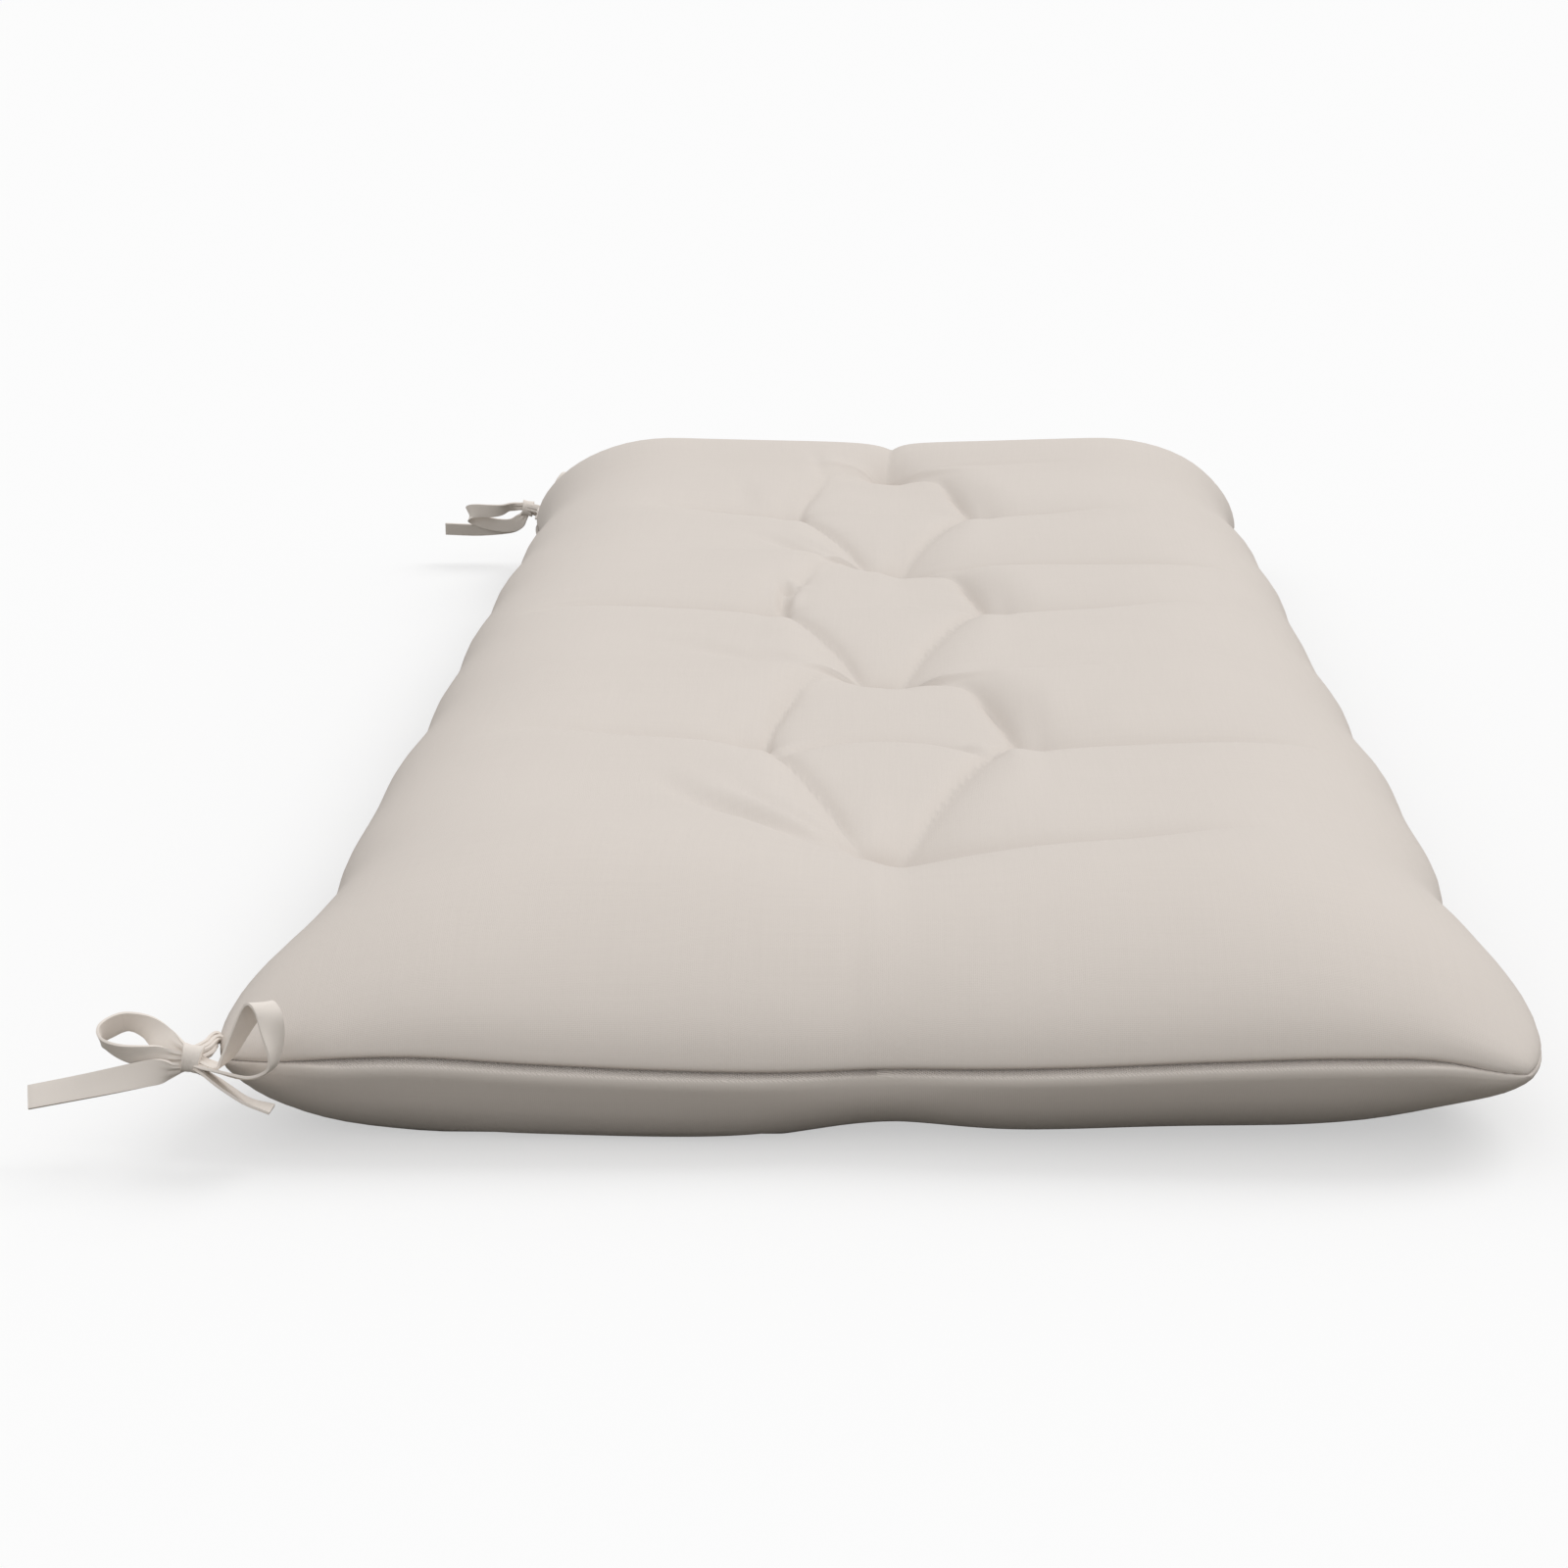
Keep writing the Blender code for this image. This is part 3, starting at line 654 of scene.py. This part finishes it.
def woven_group():
    """Plain weave on a map in metres: thread relief, uneven threads and soft clouds."""
    group = bpy.data.node_groups.new("plain weave", "ShaderNodeTree")
    group.interface.new_socket("Map", in_out="INPUT", socket_type="NodeSocketVector")
    group.interface.new_socket("Thread", in_out="INPUT", socket_type="NodeSocketFloat")
    group.interface.new_socket("Relief", in_out="OUTPUT", socket_type="NodeSocketFloat")
    group.interface.new_socket("Slub", in_out="OUTPUT", socket_type="NodeSocketFloat")
    group.interface.new_socket("Cloud", in_out="OUTPUT", socket_type="NodeSocketFloat")
    entry = group.nodes.new("NodeGroupInput")
    leave = group.nodes.new("NodeGroupOutput")

    split = group.nodes.new("ShaderNodeSeparateXYZ")
    group.links.new(entry.outputs["Map"], split.inputs[0])
    waves = []
    for axis in ("X", "Y"):
        turns = math_node(group, "DIVIDE", split.outputs[axis], entry.outputs["Thread"])
        waves.append(math_node(group, "SINE", math_node(group, "MULTIPLY", turns, math.pi)))
    warp, weft = [math_node(group, "ABSOLUTE", wave) for wave in waves]
    over = math_node(group, "GREATER_THAN", math_node(group, "MULTIPLY", *waves), 0.0)
    under = math_node(group, "SUBTRACT", 1.0, over)
    warp_top = math_node(group, "MULTIPLY", warp, math_node(group, "MULTIPLY_ADD", weft, 0.5, 0.5))
    weft_top = math_node(group, "MULTIPLY", weft, math_node(group, "MULTIPLY_ADD", warp, 0.5, 0.5))
    warp_part = math_node(group, "MULTIPLY", warp_top, over)
    relief = math_node(group, "ADD", warp_part, math_node(group, "MULTIPLY", weft_top, under))
    group.links.new(relief, leave.inputs["Relief"])

    streaks = []
    for long_way in ((STREAK_LONG, STREAK_FINE, 1.0), (STREAK_FINE, STREAK_LONG, 1.0)):
        stretch = group.nodes.new("ShaderNodeMapping")
        stretch.inputs["Scale"].default_value = long_way
        group.links.new(entry.outputs["Map"], stretch.inputs["Vector"])
        noise = group.nodes.new("ShaderNodeTexNoise")
        noise.inputs["Scale"].default_value = 1.0
        noise.inputs["Detail"].default_value = 2.0
        group.links.new(stretch.outputs[0], noise.inputs["Vector"])
        streaks.append(noise.outputs["Fac"])
    slub = math_node(group, "MULTIPLY", math_node(group, "ADD", *streaks), 0.5)
    group.links.new(slub, leave.inputs["Slub"])

    cloud = group.nodes.new("ShaderNodeTexNoise")
    cloud.inputs["Scale"].default_value = CLOUD_SCALE
    cloud.inputs["Detail"].default_value = 4.0
    group.links.new(entry.outputs["Map"], cloud.inputs["Vector"])
    group.links.new(cloud.outputs["Fac"], leave.inputs["Cloud"])
    return group


# Matt greige cotton, with painted shade down in the folds and along the seam, where
# stitches pull it in every couple of millimetres; the stitch puckers get painted light and shade
CLOTH_COLOUR = (0.700, 0.642, 0.592, 1)
CLOTH_DARK_TONE_AND_SHADE = (0.555, 0.505, 0.464, 1)
CLOTH_THREAD = 0.00075
STITCH_LENGTH = 0.0016
SEAM_LINE = 0.0012
FOLD_PAINTED_SHADE = 0.22
SEAM_PAINTED_SHADE = 0.45
STITCH_PAINTED_LIGHT = -0.35
SLUB_TONE = 0.34
CLOUD_TONE = 0.20
CLOTH_TONE_DOWN = 0.06
CLOTH_BUMP = 0.8
CLOTH_RELIEF = 0.00005
STITCH_RELIEF = 0.0004
CLOUD_RELIEF = 0.0012

plain_weave = woven_group()
cloth = bpy.data.materials.new("cover_cloth")
cloth.use_nodes = True
tree = cloth.node_tree
shader = tree.nodes["Principled BSDF"]
weave_uv = tree.nodes.new("ShaderNodeUVMap")
weave_uv.uv_map = "weave"
weave = tree.nodes.new("ShaderNodeGroup")
weave.node_tree = plain_weave
weave.inputs["Thread"].default_value = CLOTH_THREAD
tree.links.new(weave_uv.outputs[0], weave.inputs["Map"])

deep_in = tree.nodes.new("ShaderNodeAttribute")
deep_in.attribute_name = "fold_shade_depth"
seam_by = tree.nodes.new("ShaderNodeAttribute")
seam_by.attribute_name = "from_seam"
near_seam = math_node(tree, "MULTIPLY", seam_by.outputs["Fac"], 1 / SEAM_LINE)
near_seam = math_node(tree, "MULTIPLY", near_seam, near_seam)
near_seam = math_node(tree, "EXPONENT", math_node(tree, "MULTIPLY", near_seam, -1.0))
where_uv = tree.nodes.new("ShaderNodeSeparateXYZ")
tree.links.new(weave_uv.outputs[0], where_uv.inputs[0])
both_ways = math_node(tree, "ADD", where_uv.outputs["X"], where_uv.outputs["Y"])
stitch = math_node(tree, "SINE", math_node(tree, "MULTIPLY", both_ways, 2 * math.pi / STITCH_LENGTH))
stitch = math_node(tree, "MULTIPLY", stitch, near_seam)
# Painted shade along the seam line, in the groove under the upper panel
shade = math_node(tree, "MULTIPLY", near_seam, SEAM_PAINTED_SHADE)
# Painted shade down in the tufts' folds, darkest where the cloth is pulled in furthest
shade = math_node(tree, "MULTIPLY_ADD", deep_in.outputs["Fac"], FOLD_PAINTED_SHADE, shade)
# Painted light and shade on the stitch puckers, in step with their bump
shade = math_node(tree, "MULTIPLY_ADD", stitch, STITCH_PAINTED_LIGHT, shade)
uneven = math_node(tree, "MULTIPLY_ADD", weave.outputs["Slub"], SLUB_TONE, -SLUB_TONE / 2)
uneven = math_node(tree, "SUBTRACT", uneven, CLOTH_TONE_DOWN)
uneven = math_node(tree, "MULTIPLY_ADD", weave.outputs["Cloud"], CLOUD_TONE, uneven)
shade = math_node(tree, "ADD", shade, uneven)
# The dark end of the mix carries the painted shade as well as the cloth's own uneven tone
colour_between(tree, CLOTH_COLOUR, CLOTH_DARK_TONE_AND_SHADE, shade, shader)
relief = math_node(tree, "MULTIPLY", stitch, STITCH_RELIEF)
relief = math_node(tree, "MULTIPLY_ADD", weave.outputs["Relief"], CLOTH_RELIEF, relief)
relief = math_node(tree, "MULTIPLY_ADD", weave.outputs["Cloud"], CLOUD_RELIEF, relief)
raise_relief(tree, relief, CLOTH_BUMP, shader)
matt_cotton(shader)
shader.inputs["Sheen Tint"].default_value = (1.0, 0.96, 0.92, 1)
cushion_mesh.materials.append(cloth)

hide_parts("cushion")
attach(cushion_cover, "root")


# ---------------------------------------------------------------- ribbon ties
# Each tie is two strands of matt woven tape, 1 cm wide, sewn into the back seam
# close to the corner and tied in a bow: a knot wrapped round two loops and two
# tails with cut ends. Each bow is one piece.
TAPE_WIDTH = 0.010
TAPE_THICK = 0.0011
SOFT_EDGE = 0.0003
TAPE_ACROSS = 8
STEPS_PER_BEND = 8
KNOT_OUTWARD = 0.0040
KNOT_LIFT = 0.0010

# Near the knot the tape is gathered to half its width in small pleats. It opens out
# between these distances from the knot, and the roots only far from it
GATHERED = 0.50
GATHER_FROM = 0.003
GATHER_TO = 0.015
ROOT_GATHER_TO = 0.080
PLEAT = 0.0007

# Strips of one bow, a row for each bend, in millimetres from the knot: aside
# (away from the cushion), outward (past its end), up, and the way the tape's
# width points there
Bend = namedtuple("Bend", "aside outward up width_aside width_outward width_up")
BOW = {
    "outer_loop": [
        Bend(0.8, -1.6, 1.7, 0.0, 0.2, 1.0),
        Bend(5.5, -3.6, 2.4, -0.3, -0.3, 0.9),
        Bend(12.0, -6.8, 4.8, -0.5, -0.5, 0.8),
        Bend(19.0, -11.0, 8.6, -0.2, 0.1, 0.9),
        Bend(27.0, -12.5, 10.4, 0.0, 0.5, 0.9),
        Bend(33.0, -9.0, 9.2, 0.0, 0.4, 0.9),
        Bend(35.8, -4.5, 7.8, 0.0, 0.6, 0.8),
        Bend(34.0, -0.8, 5.4, 0.0, 0.8, 0.7),
        Bend(27.0, 0.9, 2.6, 0.0, 0.6, 0.8),
        Bend(18.0, 1.4, 1.2, 0.0, 0.3, 0.9),
        Bend(9.0, 1.0, 0.5, 0.0, 0.0, 1.0),
        Bend(0.8, 0.6, 0.4, 0.0, 0.2, 1.0),
    ],
    "outer_tail": [
        Bend(0.8, 0.2, -2.8, 0.0, 0.8, 0.6),
        Bend(7.0, 2.6, -3.8, 0.2, 0.5, 0.8),
        Bend(15.0, 4.4, -4.3, 0.2, -0.2, 1.0),
        Bend(38.0, 5.4, -9.2, 0.2, -0.8, 1.0),
        Bend(62.5, 5.4, -14.4, 0.2, -1.0, 1.0),
    ],
    "inner_loop": [
        Bend(-0.8, -1.2, 0.4, 0.0, -1.0, 0.1),
        Bend(-6.0, 1.8, -1.2, -0.1, -1.0, 0.0),
        Bend(-11.2, 3.6, -1.6, -0.1, -1.0, -0.1),
        Bend(-14.4, 4.0, 2.4, -0.3, -0.9, -0.2),
        Bend(-19.5, 4.4, 12.0, -0.6, -0.8, -0.1),
        Bend(-25.0, 6.5, 21.8, -0.8, -0.5, 0.0),
        Bend(-28.5, 10.5, 25.8, -0.8, -0.5, -0.1),
        Bend(-31.6, 13.0, 24.0, -0.8, -0.5, -0.1),
        Bend(-33.5, 14.5, 18.5, -0.8, -0.6, 0.1),
        Bend(-34.5, 14.5, 8.0, -0.3, -0.9, -0.1),
        Bend(-32.0, 12.5, 0.8, 0.0, -1.0, -0.3),
        Bend(-24.0, 10.5, -3.6, 0.2, -1.0, -0.4),
        Bend(-13.0, 7.0, -3.4, 0.2, -1.0, -0.4),
        Bend(-0.8, 1.2, -1.4, 0.0, -1.0, 0.0),
    ],
    "inner_tail": [
        Bend(-0.8, 0.6, -2.8, 0.0, 1.0, 0.0),
        Bend(-5.5, 3.0, -4.9, 0.1, 1.0, 0.2),
        Bend(-13.0, 5.0, -9.6, 0.1, 1.0, 0.2),
        Bend(-21.5, 6.5, -14.6, 0.1, 1.0, 0.2),
        Bend(-31.0, 7.0, -17.6, 0.3, 1.0, 0.1),
    ],
}

# The far bow hangs lower on its outer side: a long loop that drops behind itself and
# a tail that comes down from the knot and then runs level
FAR_OUTER = {
    "outer_loop": [
        Bend(0.8, -1.6, 1.7, 0.0, 0.2, 1.0),
        Bend(6.0, -2.6, 1.6, -0.2, -0.3, 0.8),
        Bend(13.0, -3.6, 1.4, -0.3, -0.6, 0.6),
        Bend(20.0, -4.2, -0.8, -0.2, -0.5, 0.9),
        Bend(28.0, -4.2, -1.4, 0.0, -0.3, 1.0),
        Bend(36.0, -3.6, -1.4, 0.1, -0.2, 1.0),
        Bend(41.6, -1.2, -2.6, 0.2, 0.0, 1.0),
        Bend(42.2, 1.8, -5.4, 0.4, 0.0, 0.9),
        Bend(37.0, 3.6, -9.2, 0.3, -0.2, 1.0),
        Bend(28.0, 4.0, -12.2, 0.1, -0.3, 1.0),
        Bend(17.0, 3.0, -13.4, 0.0, -0.3, 1.0),
        Bend(9.5, 2.0, -12.0, 0.3, -0.2, 0.9),
        Bend(4.4, 1.0, -7.6, 0.7, 0.0, 0.7),
        Bend(0.8, 0.6, -2.6, 0.4, 0.2, 0.9),
    ],
    "outer_tail": [
        Bend(0.8, 0.2, -2.8, 0.0, 0.8, 0.6),
        Bend(4.0, 3.4, -7.4, 0.5, 0.4, 0.7),
        Bend(10.0, 6.0, -13.0, 0.4, 0.0, 0.8),
        Bend(19.0, 7.2, -15.8, 0.1, -0.4, 1.0),
        Bend(38.0, 7.2, -17.4, 0.0, -0.5, 1.0),
        Bend(61.0, 6.4, -16.6, 0.2, -0.5, 1.0),
    ],
}

# Of each tie: its end of the bench, its knot's place, how tall its loops stand beside
# the near ones, and its strips. The lower loops only start to differ TALL_FROM
# millimetres above the knot, and do so in full from TALL_TO
TALL_FROM = 2.0
TALL_TO = 9.0
Tie = namedtuple("Tie", "name end knot_aside bow_tall strips")
TIES = [
    Tie("tie_near", -1, 0.2605, 1.00, BOW),
    Tie("tie_far", 1, 0.2590, 0.90, {**BOW, **FAR_OUTER}),
]

# The two strands leave the seam side by side, turn on edge and end in the knot: bends
# from the seam, the last one from the knot
ROOT = [
    Bend(-1.0, 0.0, 0.0, 0.0, 1.0, 0.0),
    Bend(1.8, 1.6, 0.3, -0.2, 0.8, 0.6),
    Bend(2.3, 8.0, 0.8, 0.1, 0.1, 1.0),
    Bend(2.5, 15.0, 1.4, 0.2, 0.0, 1.0),
    Bend(-1.5, -2.8, 1.0, 0.2, 0.0, 1.0),
]
ROOT_INWARD = 0.022
ROOT_IN_GROOVE = 0.0005
ROOT_SPREAD = 1.7

# The knot's band: its size aside, outward and up, its slant, its steps round, and its
# radius, first for the weave's map and then for the length of tape that it takes
KNOT_BAND = Vector((0.0074, 0.0076, 0.0094))
KNOT_SLANT = 0.16
KNOT_STEPS = 40
KNOT_WEAVE_RADIUS = 0.0045
KNOT_RADIUS = 0.0043


def tape_route(bends, steps):
    """Smooth places and width directions through a strip's bends."""
    stations = np.arange(len(bends), dtype=float)
    at = np.linspace(0.0, len(bends) - 1.0, steps * (len(bends) - 1) + 1)
    table = np.array([tuple(bend) for bend in bends])
    columns = [smooth_curve(at, stations, table[:, column]) for column in range(6)]
    places = [Vector(point) for point in zip(*columns[:3])]
    widths = [Vector(point) for point in zip(*columns[3:])]
    return places, widths


def lay_tape(bow, places, widths, knot_centre, gather_to):
    """A strip of tape along its places, pleated where it is gathered at the knot."""
    steps = len(places) - 1
    run_layer = bow.verts.layers.float["tape_run"]
    across_layer = bow.verts.layers.float["tape_across"]
    stretches = [(after - before).length for before, after in zip(places, places[1:])]
    run_so_far = np.concatenate([[0.0], np.cumsum(stretches)])
    strip = bmesh.ops.create_grid(bow, x_segments=steps, y_segments=TAPE_ACROSS, size=1.0)
    for vert in strip["verts"]:
        index = round((vert.co.x + 1) / 2 * steps)
        part = vert.co.y
        place = places[index]
        run = (places[min(index + 1, steps)] - places[max(index - 1, 0)]).normalized()
        wide = (widths[index] - widths[index].dot(run) * run).normalized()
        face = run.cross(wide)
        open_out = float(ramp((place - knot_centre).length, GATHER_FROM, gather_to))
        half = TAPE_WIDTH / 2 * (GATHERED + (1 - GATHERED) * open_out)
        pleat = PLEAT * (1 - open_out) * math.cos(2.5 * math.pi * part)
        vert.co = place + wide * part * half + face * pleat
        vert[run_layer] = run_so_far[index]
        vert[across_layer] = part * TAPE_WIDTH / 2
    return float(run_so_far[-1])


def wrap_knot(bow, placed, knot_centre):
    """The band of tape wrapped once round the bow's middle."""
    run_layer = bow.verts.layers.float["tape_run"]
    across_layer = bow.verts.layers.float["tape_across"]
    band = bmesh.ops.create_grid(bow, x_segments=KNOT_STEPS, y_segments=TAPE_ACROSS, size=1.0)
    for vert in band["verts"]:
        angle = (vert.co.x + 1) * math.pi
        part = vert.co.y
        waist = 1.0 + 0.10 * part**2 - 0.05 * math.cos(3 * math.pi * part) * math.cos(angle)
        aside = part * KNOT_BAND.x / 2 * (1.0 - 0.10 * math.cos(2 * angle))
        outward = math.cos(angle) * KNOT_BAND.y / 2 * waist
        up = math.sin(angle) * KNOT_BAND.z / 2 * waist + KNOT_SLANT * aside
        vert.co = knot_centre + placed(Vector((aside - KNOT_SLANT * up, outward, up)))
        vert[run_layer] = angle * KNOT_WEAVE_RADIUS
        vert[across_layer] = part * TAPE_WIDTH / 2
    bmesh.ops.remove_doubles(bow, verts=band["verts"], dist=1e-6)
    return 2 * math.pi * KNOT_RADIUS


def tie_bow(tie, tape):
    """One tie, from its two strands at the seam to its tails."""
    knot_along = tie.end * (HALF_LENGTH + KNOT_OUTWARD)
    knot_centre = Vector((knot_along, tie.knot_aside, SEAM_HEIGHT + KNOT_LIFT))

    def placed(point):
        """The bow's own aside, outward and up as a direction on the bench."""
        return Vector((tie.end * point.y, point.x, point.z))

    bow = bmesh.new()
    bow.verts.layers.float.new("tape_run")
    bow.verts.layers.float.new("tape_across")
    length = 0.0
    for bends in tie.strips.values():
        points, widths = tape_route(bends, STEPS_PER_BEND)
        places = []
        for point in points:
            tall = 1 + (tie.bow_tall - 1) * float(ramp(point.z, TALL_FROM, TALL_TO))
            places.append(knot_centre + placed(Vector((point.x, point.y, point.z * tall)) / 1000))
        widths = [placed(width) for width in widths]
        length += lay_tape(bow, places, widths, knot_centre, GATHER_TO)

    root_along = tie.end * (HALF_LENGTH - ROOT_INWARD)
    seam_aside = float(plan_place(np.array([root_along]), np.array([HALF_DEPTH]))[1][0])
    seam_point = Vector((root_along, seam_aside - ROOT_IN_GROOVE, SEAM_HEIGHT))
    to_knot = (knot_centre - seam_point) * 1000
    for apart in (-0.5 * ROOT_SPREAD, 0.5 * ROOT_SPREAD):
        bends = []
        for bend in ROOT:
            bends.append(bend._replace(aside=bend.aside + apart, outward=bend.outward - 2 * apart))
        last = bends[-1]
        bends[-1] = last._replace(
            aside=last.aside + to_knot.y,
            outward=last.outward + to_knot.x * tie.end,
            up=last.up + to_knot.z,
        )
        points, widths = tape_route(bends, STEPS_PER_BEND)
        places = [seam_point + placed(point / 1000) for point in points]
        widths = [placed(width) for width in widths]
        length += lay_tape(bow, places, widths, knot_centre, ROOT_GATHER_TO)
    length += wrap_knot(bow, placed, knot_centre)

    bmesh.ops.recalc_face_normals(bow, faces=bow.faces)
    mesh = bpy.data.meshes.new(f"{tie.name}_ribbon")
    bow.to_mesh(mesh)
    bow.free()
    mesh.shade_smooth()
    mesh.materials.append(tape)
    ribbon = bpy.data.objects.new(f"{tie.name}_ribbon", mesh)
    bpy.context.scene.collection.objects.link(ribbon)
    thick = ribbon.modifiers.new("tape thickness", "SOLIDIFY")
    thick.thickness = TAPE_THICK
    thick.offset = 0.0
    thick.use_even_offset = False
    soft = ribbon.modifiers.new("soft edges", "BEVEL")
    soft.width = SOFT_EDGE
    soft.segments = 2
    soft.limit_method = "ANGLE"
    soft.angle_limit = math.radians(50)
    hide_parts(tie.name)
    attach(ribbon, "root")


# The tape is the same cotton in a finer, tighter weave, a little thicker and darker
# along each edge, with painted light on its raised threads and painted shade between them
TAPE_COLOUR = (0.845, 0.782, 0.722, 1)
TAPE_DARK_TONE_AND_SHADE = (0.660, 0.602, 0.550, 1)
TAPE_THREAD = 0.00042
TAPE_BUMP = 0.7
TAPE_RELIEF = 0.00005
SELVEDGE = 0.0007
SELVEDGE_RELIEF = 0.0001
SELVEDGE_DARKER = 0.16
THREAD_PAINTED_LIGHT = -0.12
TAPE_SLUB_TONE = 0.40
TAPE_TONE_UP = -0.16

tape = bpy.data.materials.new("tie_tape")
tape.use_nodes = True
tree = tape.node_tree
shader = tree.nodes["Principled BSDF"]
run_by = tree.nodes.new("ShaderNodeAttribute")
run_by.attribute_name = "tape_run"
across_by = tree.nodes.new("ShaderNodeAttribute")
across_by.attribute_name = "tape_across"
on_tape = tree.nodes.new("ShaderNodeCombineXYZ")
tree.links.new(run_by.outputs["Fac"], on_tape.inputs["X"])
tree.links.new(across_by.outputs["Fac"], on_tape.inputs["Y"])
weave = tree.nodes.new("ShaderNodeGroup")
weave.node_tree = plain_weave
weave.inputs["Thread"].default_value = TAPE_THREAD
tree.links.new(on_tape.outputs[0], weave.inputs["Map"])

from_middle = math_node(tree, "ABSOLUTE", across_by.outputs["Fac"])
from_edge = math_node(tree, "SUBTRACT", TAPE_WIDTH / 2, from_middle)
selvedge = math_node(tree, "SUBTRACT", 1.0, math_node(tree, "DIVIDE", from_edge, SELVEDGE))
selvedge = math_node(tree, "MAXIMUM", selvedge, 0.0)
uneven = math_node(tree, "MULTIPLY_ADD", weave.outputs["Slub"], TAPE_SLUB_TONE, TAPE_TONE_UP)
# Painted light on the raised threads and painted shade in the gaps between them
uneven = math_node(tree, "MULTIPLY_ADD", weave.outputs["Relief"], THREAD_PAINTED_LIGHT, uneven)
uneven = math_node(tree, "MULTIPLY_ADD", selvedge, SELVEDGE_DARKER, uneven)
colour_between(tree, TAPE_COLOUR, TAPE_DARK_TONE_AND_SHADE, uneven, shader)
relief = math_node(tree, "MULTIPLY", selvedge, SELVEDGE_RELIEF)
relief = math_node(tree, "MULTIPLY_ADD", weave.outputs["Relief"], TAPE_RELIEF, relief)
raise_relief(tree, relief, TAPE_BUMP, shader)
matt_cotton(shader)

for tie in TIES:
    tie_bow(tie, tape)


# ---------------------------------------------------------------- floor and light
# The photo's plain white ground: a pale floor that keeps a soft shadow and white all
# round. One wide soft light comes from above the far end, and a weaker one from the
# camera's side. The floor glows a little to the camera, and throws back little light.
FLOOR_SEEN = (0.93, 0.93, 0.93, 1)
FLOOR_BOUNCE = (0.175, 0.165, 0.145, 1)
FLOOR_GLOW = 0.5
FLOOR_SIZE = 30.0
FLOOR_DROP = 0.0005
SKY_STRENGTH = 0.68
BACKDROP = (0.975, 0.975, 0.975, 1)

scene = bpy.context.scene
scene.view_settings.view_transform = "Standard"
floor_mesh = bpy.data.meshes.new("floor")
ground = bmesh.new()
bmesh.ops.create_grid(ground, x_segments=1, y_segments=1, size=FLOOR_SIZE)
bmesh.ops.translate(ground, verts=ground.verts, vec=(0, 0, -FLOOR_DROP))
ground.to_mesh(floor_mesh)
ground.free()
floor = bpy.data.objects.new("floor", floor_mesh)
scene.collection.objects.link(floor)
pale = bpy.data.materials.new("floor_pale")
pale.use_nodes = True
nodes, links = pale.node_tree.nodes, pale.node_tree.links
nodes.remove(nodes["Principled BSDF"])
seen = nodes.new("ShaderNodeBsdfDiffuse")
seen.inputs["Color"].default_value = FLOOR_SEEN
bounced = nodes.new("ShaderNodeBsdfDiffuse")
bounced.inputs["Color"].default_value = FLOOR_BOUNCE
path = nodes.new("ShaderNodeLightPath")
either = nodes.new("ShaderNodeMixShader")
links.new(path.outputs["Is Camera Ray"], either.inputs["Fac"])
links.new(bounced.outputs[0], either.inputs[1])
glow = nodes.new("ShaderNodeEmission")
glow.inputs["Color"].default_value = (1, 1, 1, 1)
lifted = nodes.new("ShaderNodeMixShader")
lifted.inputs["Fac"].default_value = FLOOR_GLOW
links.new(seen.outputs[0], lifted.inputs[1])
links.new(glow.outputs[0], lifted.inputs[2])
links.new(lifted.outputs[0], either.inputs[2])
links.new(either.outputs[0], nodes["Material Output"].inputs["Surface"])
floor_mesh.materials.append(pale)

sky = bpy.data.worlds.new("studio")
scene.world = sky
sky.use_nodes = True
nodes, links = sky.node_tree.nodes, sky.node_tree.links
nodes["Background"].inputs["Color"].default_value = (1, 1, 1, 1)
nodes["Background"].inputs["Strength"].default_value = SKY_STRENGTH
backdrop = nodes.new("ShaderNodeBackground")
backdrop.inputs["Color"].default_value = BACKDROP
path = nodes.new("ShaderNodeLightPath")
either = nodes.new("ShaderNodeMixShader")
links.new(path.outputs["Is Camera Ray"], either.inputs["Fac"])
links.new(nodes["Background"].outputs[0], either.inputs[1])
links.new(backdrop.outputs[0], either.inputs[2])
links.new(either.outputs[0], nodes["World Output"].inputs["Surface"])

# Light, strength, how many degrees wide, and the direction it shines in
SoftLight = namedtuple("SoftLight", "name energy wide shines")
SOFT_LIGHTS = [
    SoftLight("key", 1.1, 40, (-0.40, 0.52, -0.75)),
    SoftLight("front", 0.46, 50, (0.85, -0.20, -0.48)),
]
for light in SOFT_LIGHTS:
    sun = bpy.data.lights.new(light.name, "SUN")
    sun.energy = light.energy
    sun.angle = math.radians(light.wide)
    holder = bpy.data.objects.new(light.name, sun)
    scene.collection.objects.link(holder)
    holder.rotation_mode = "QUATERNION"
    holder.rotation_quaternion = Vector(light.shines).to_track_quat("-Z", "Y")
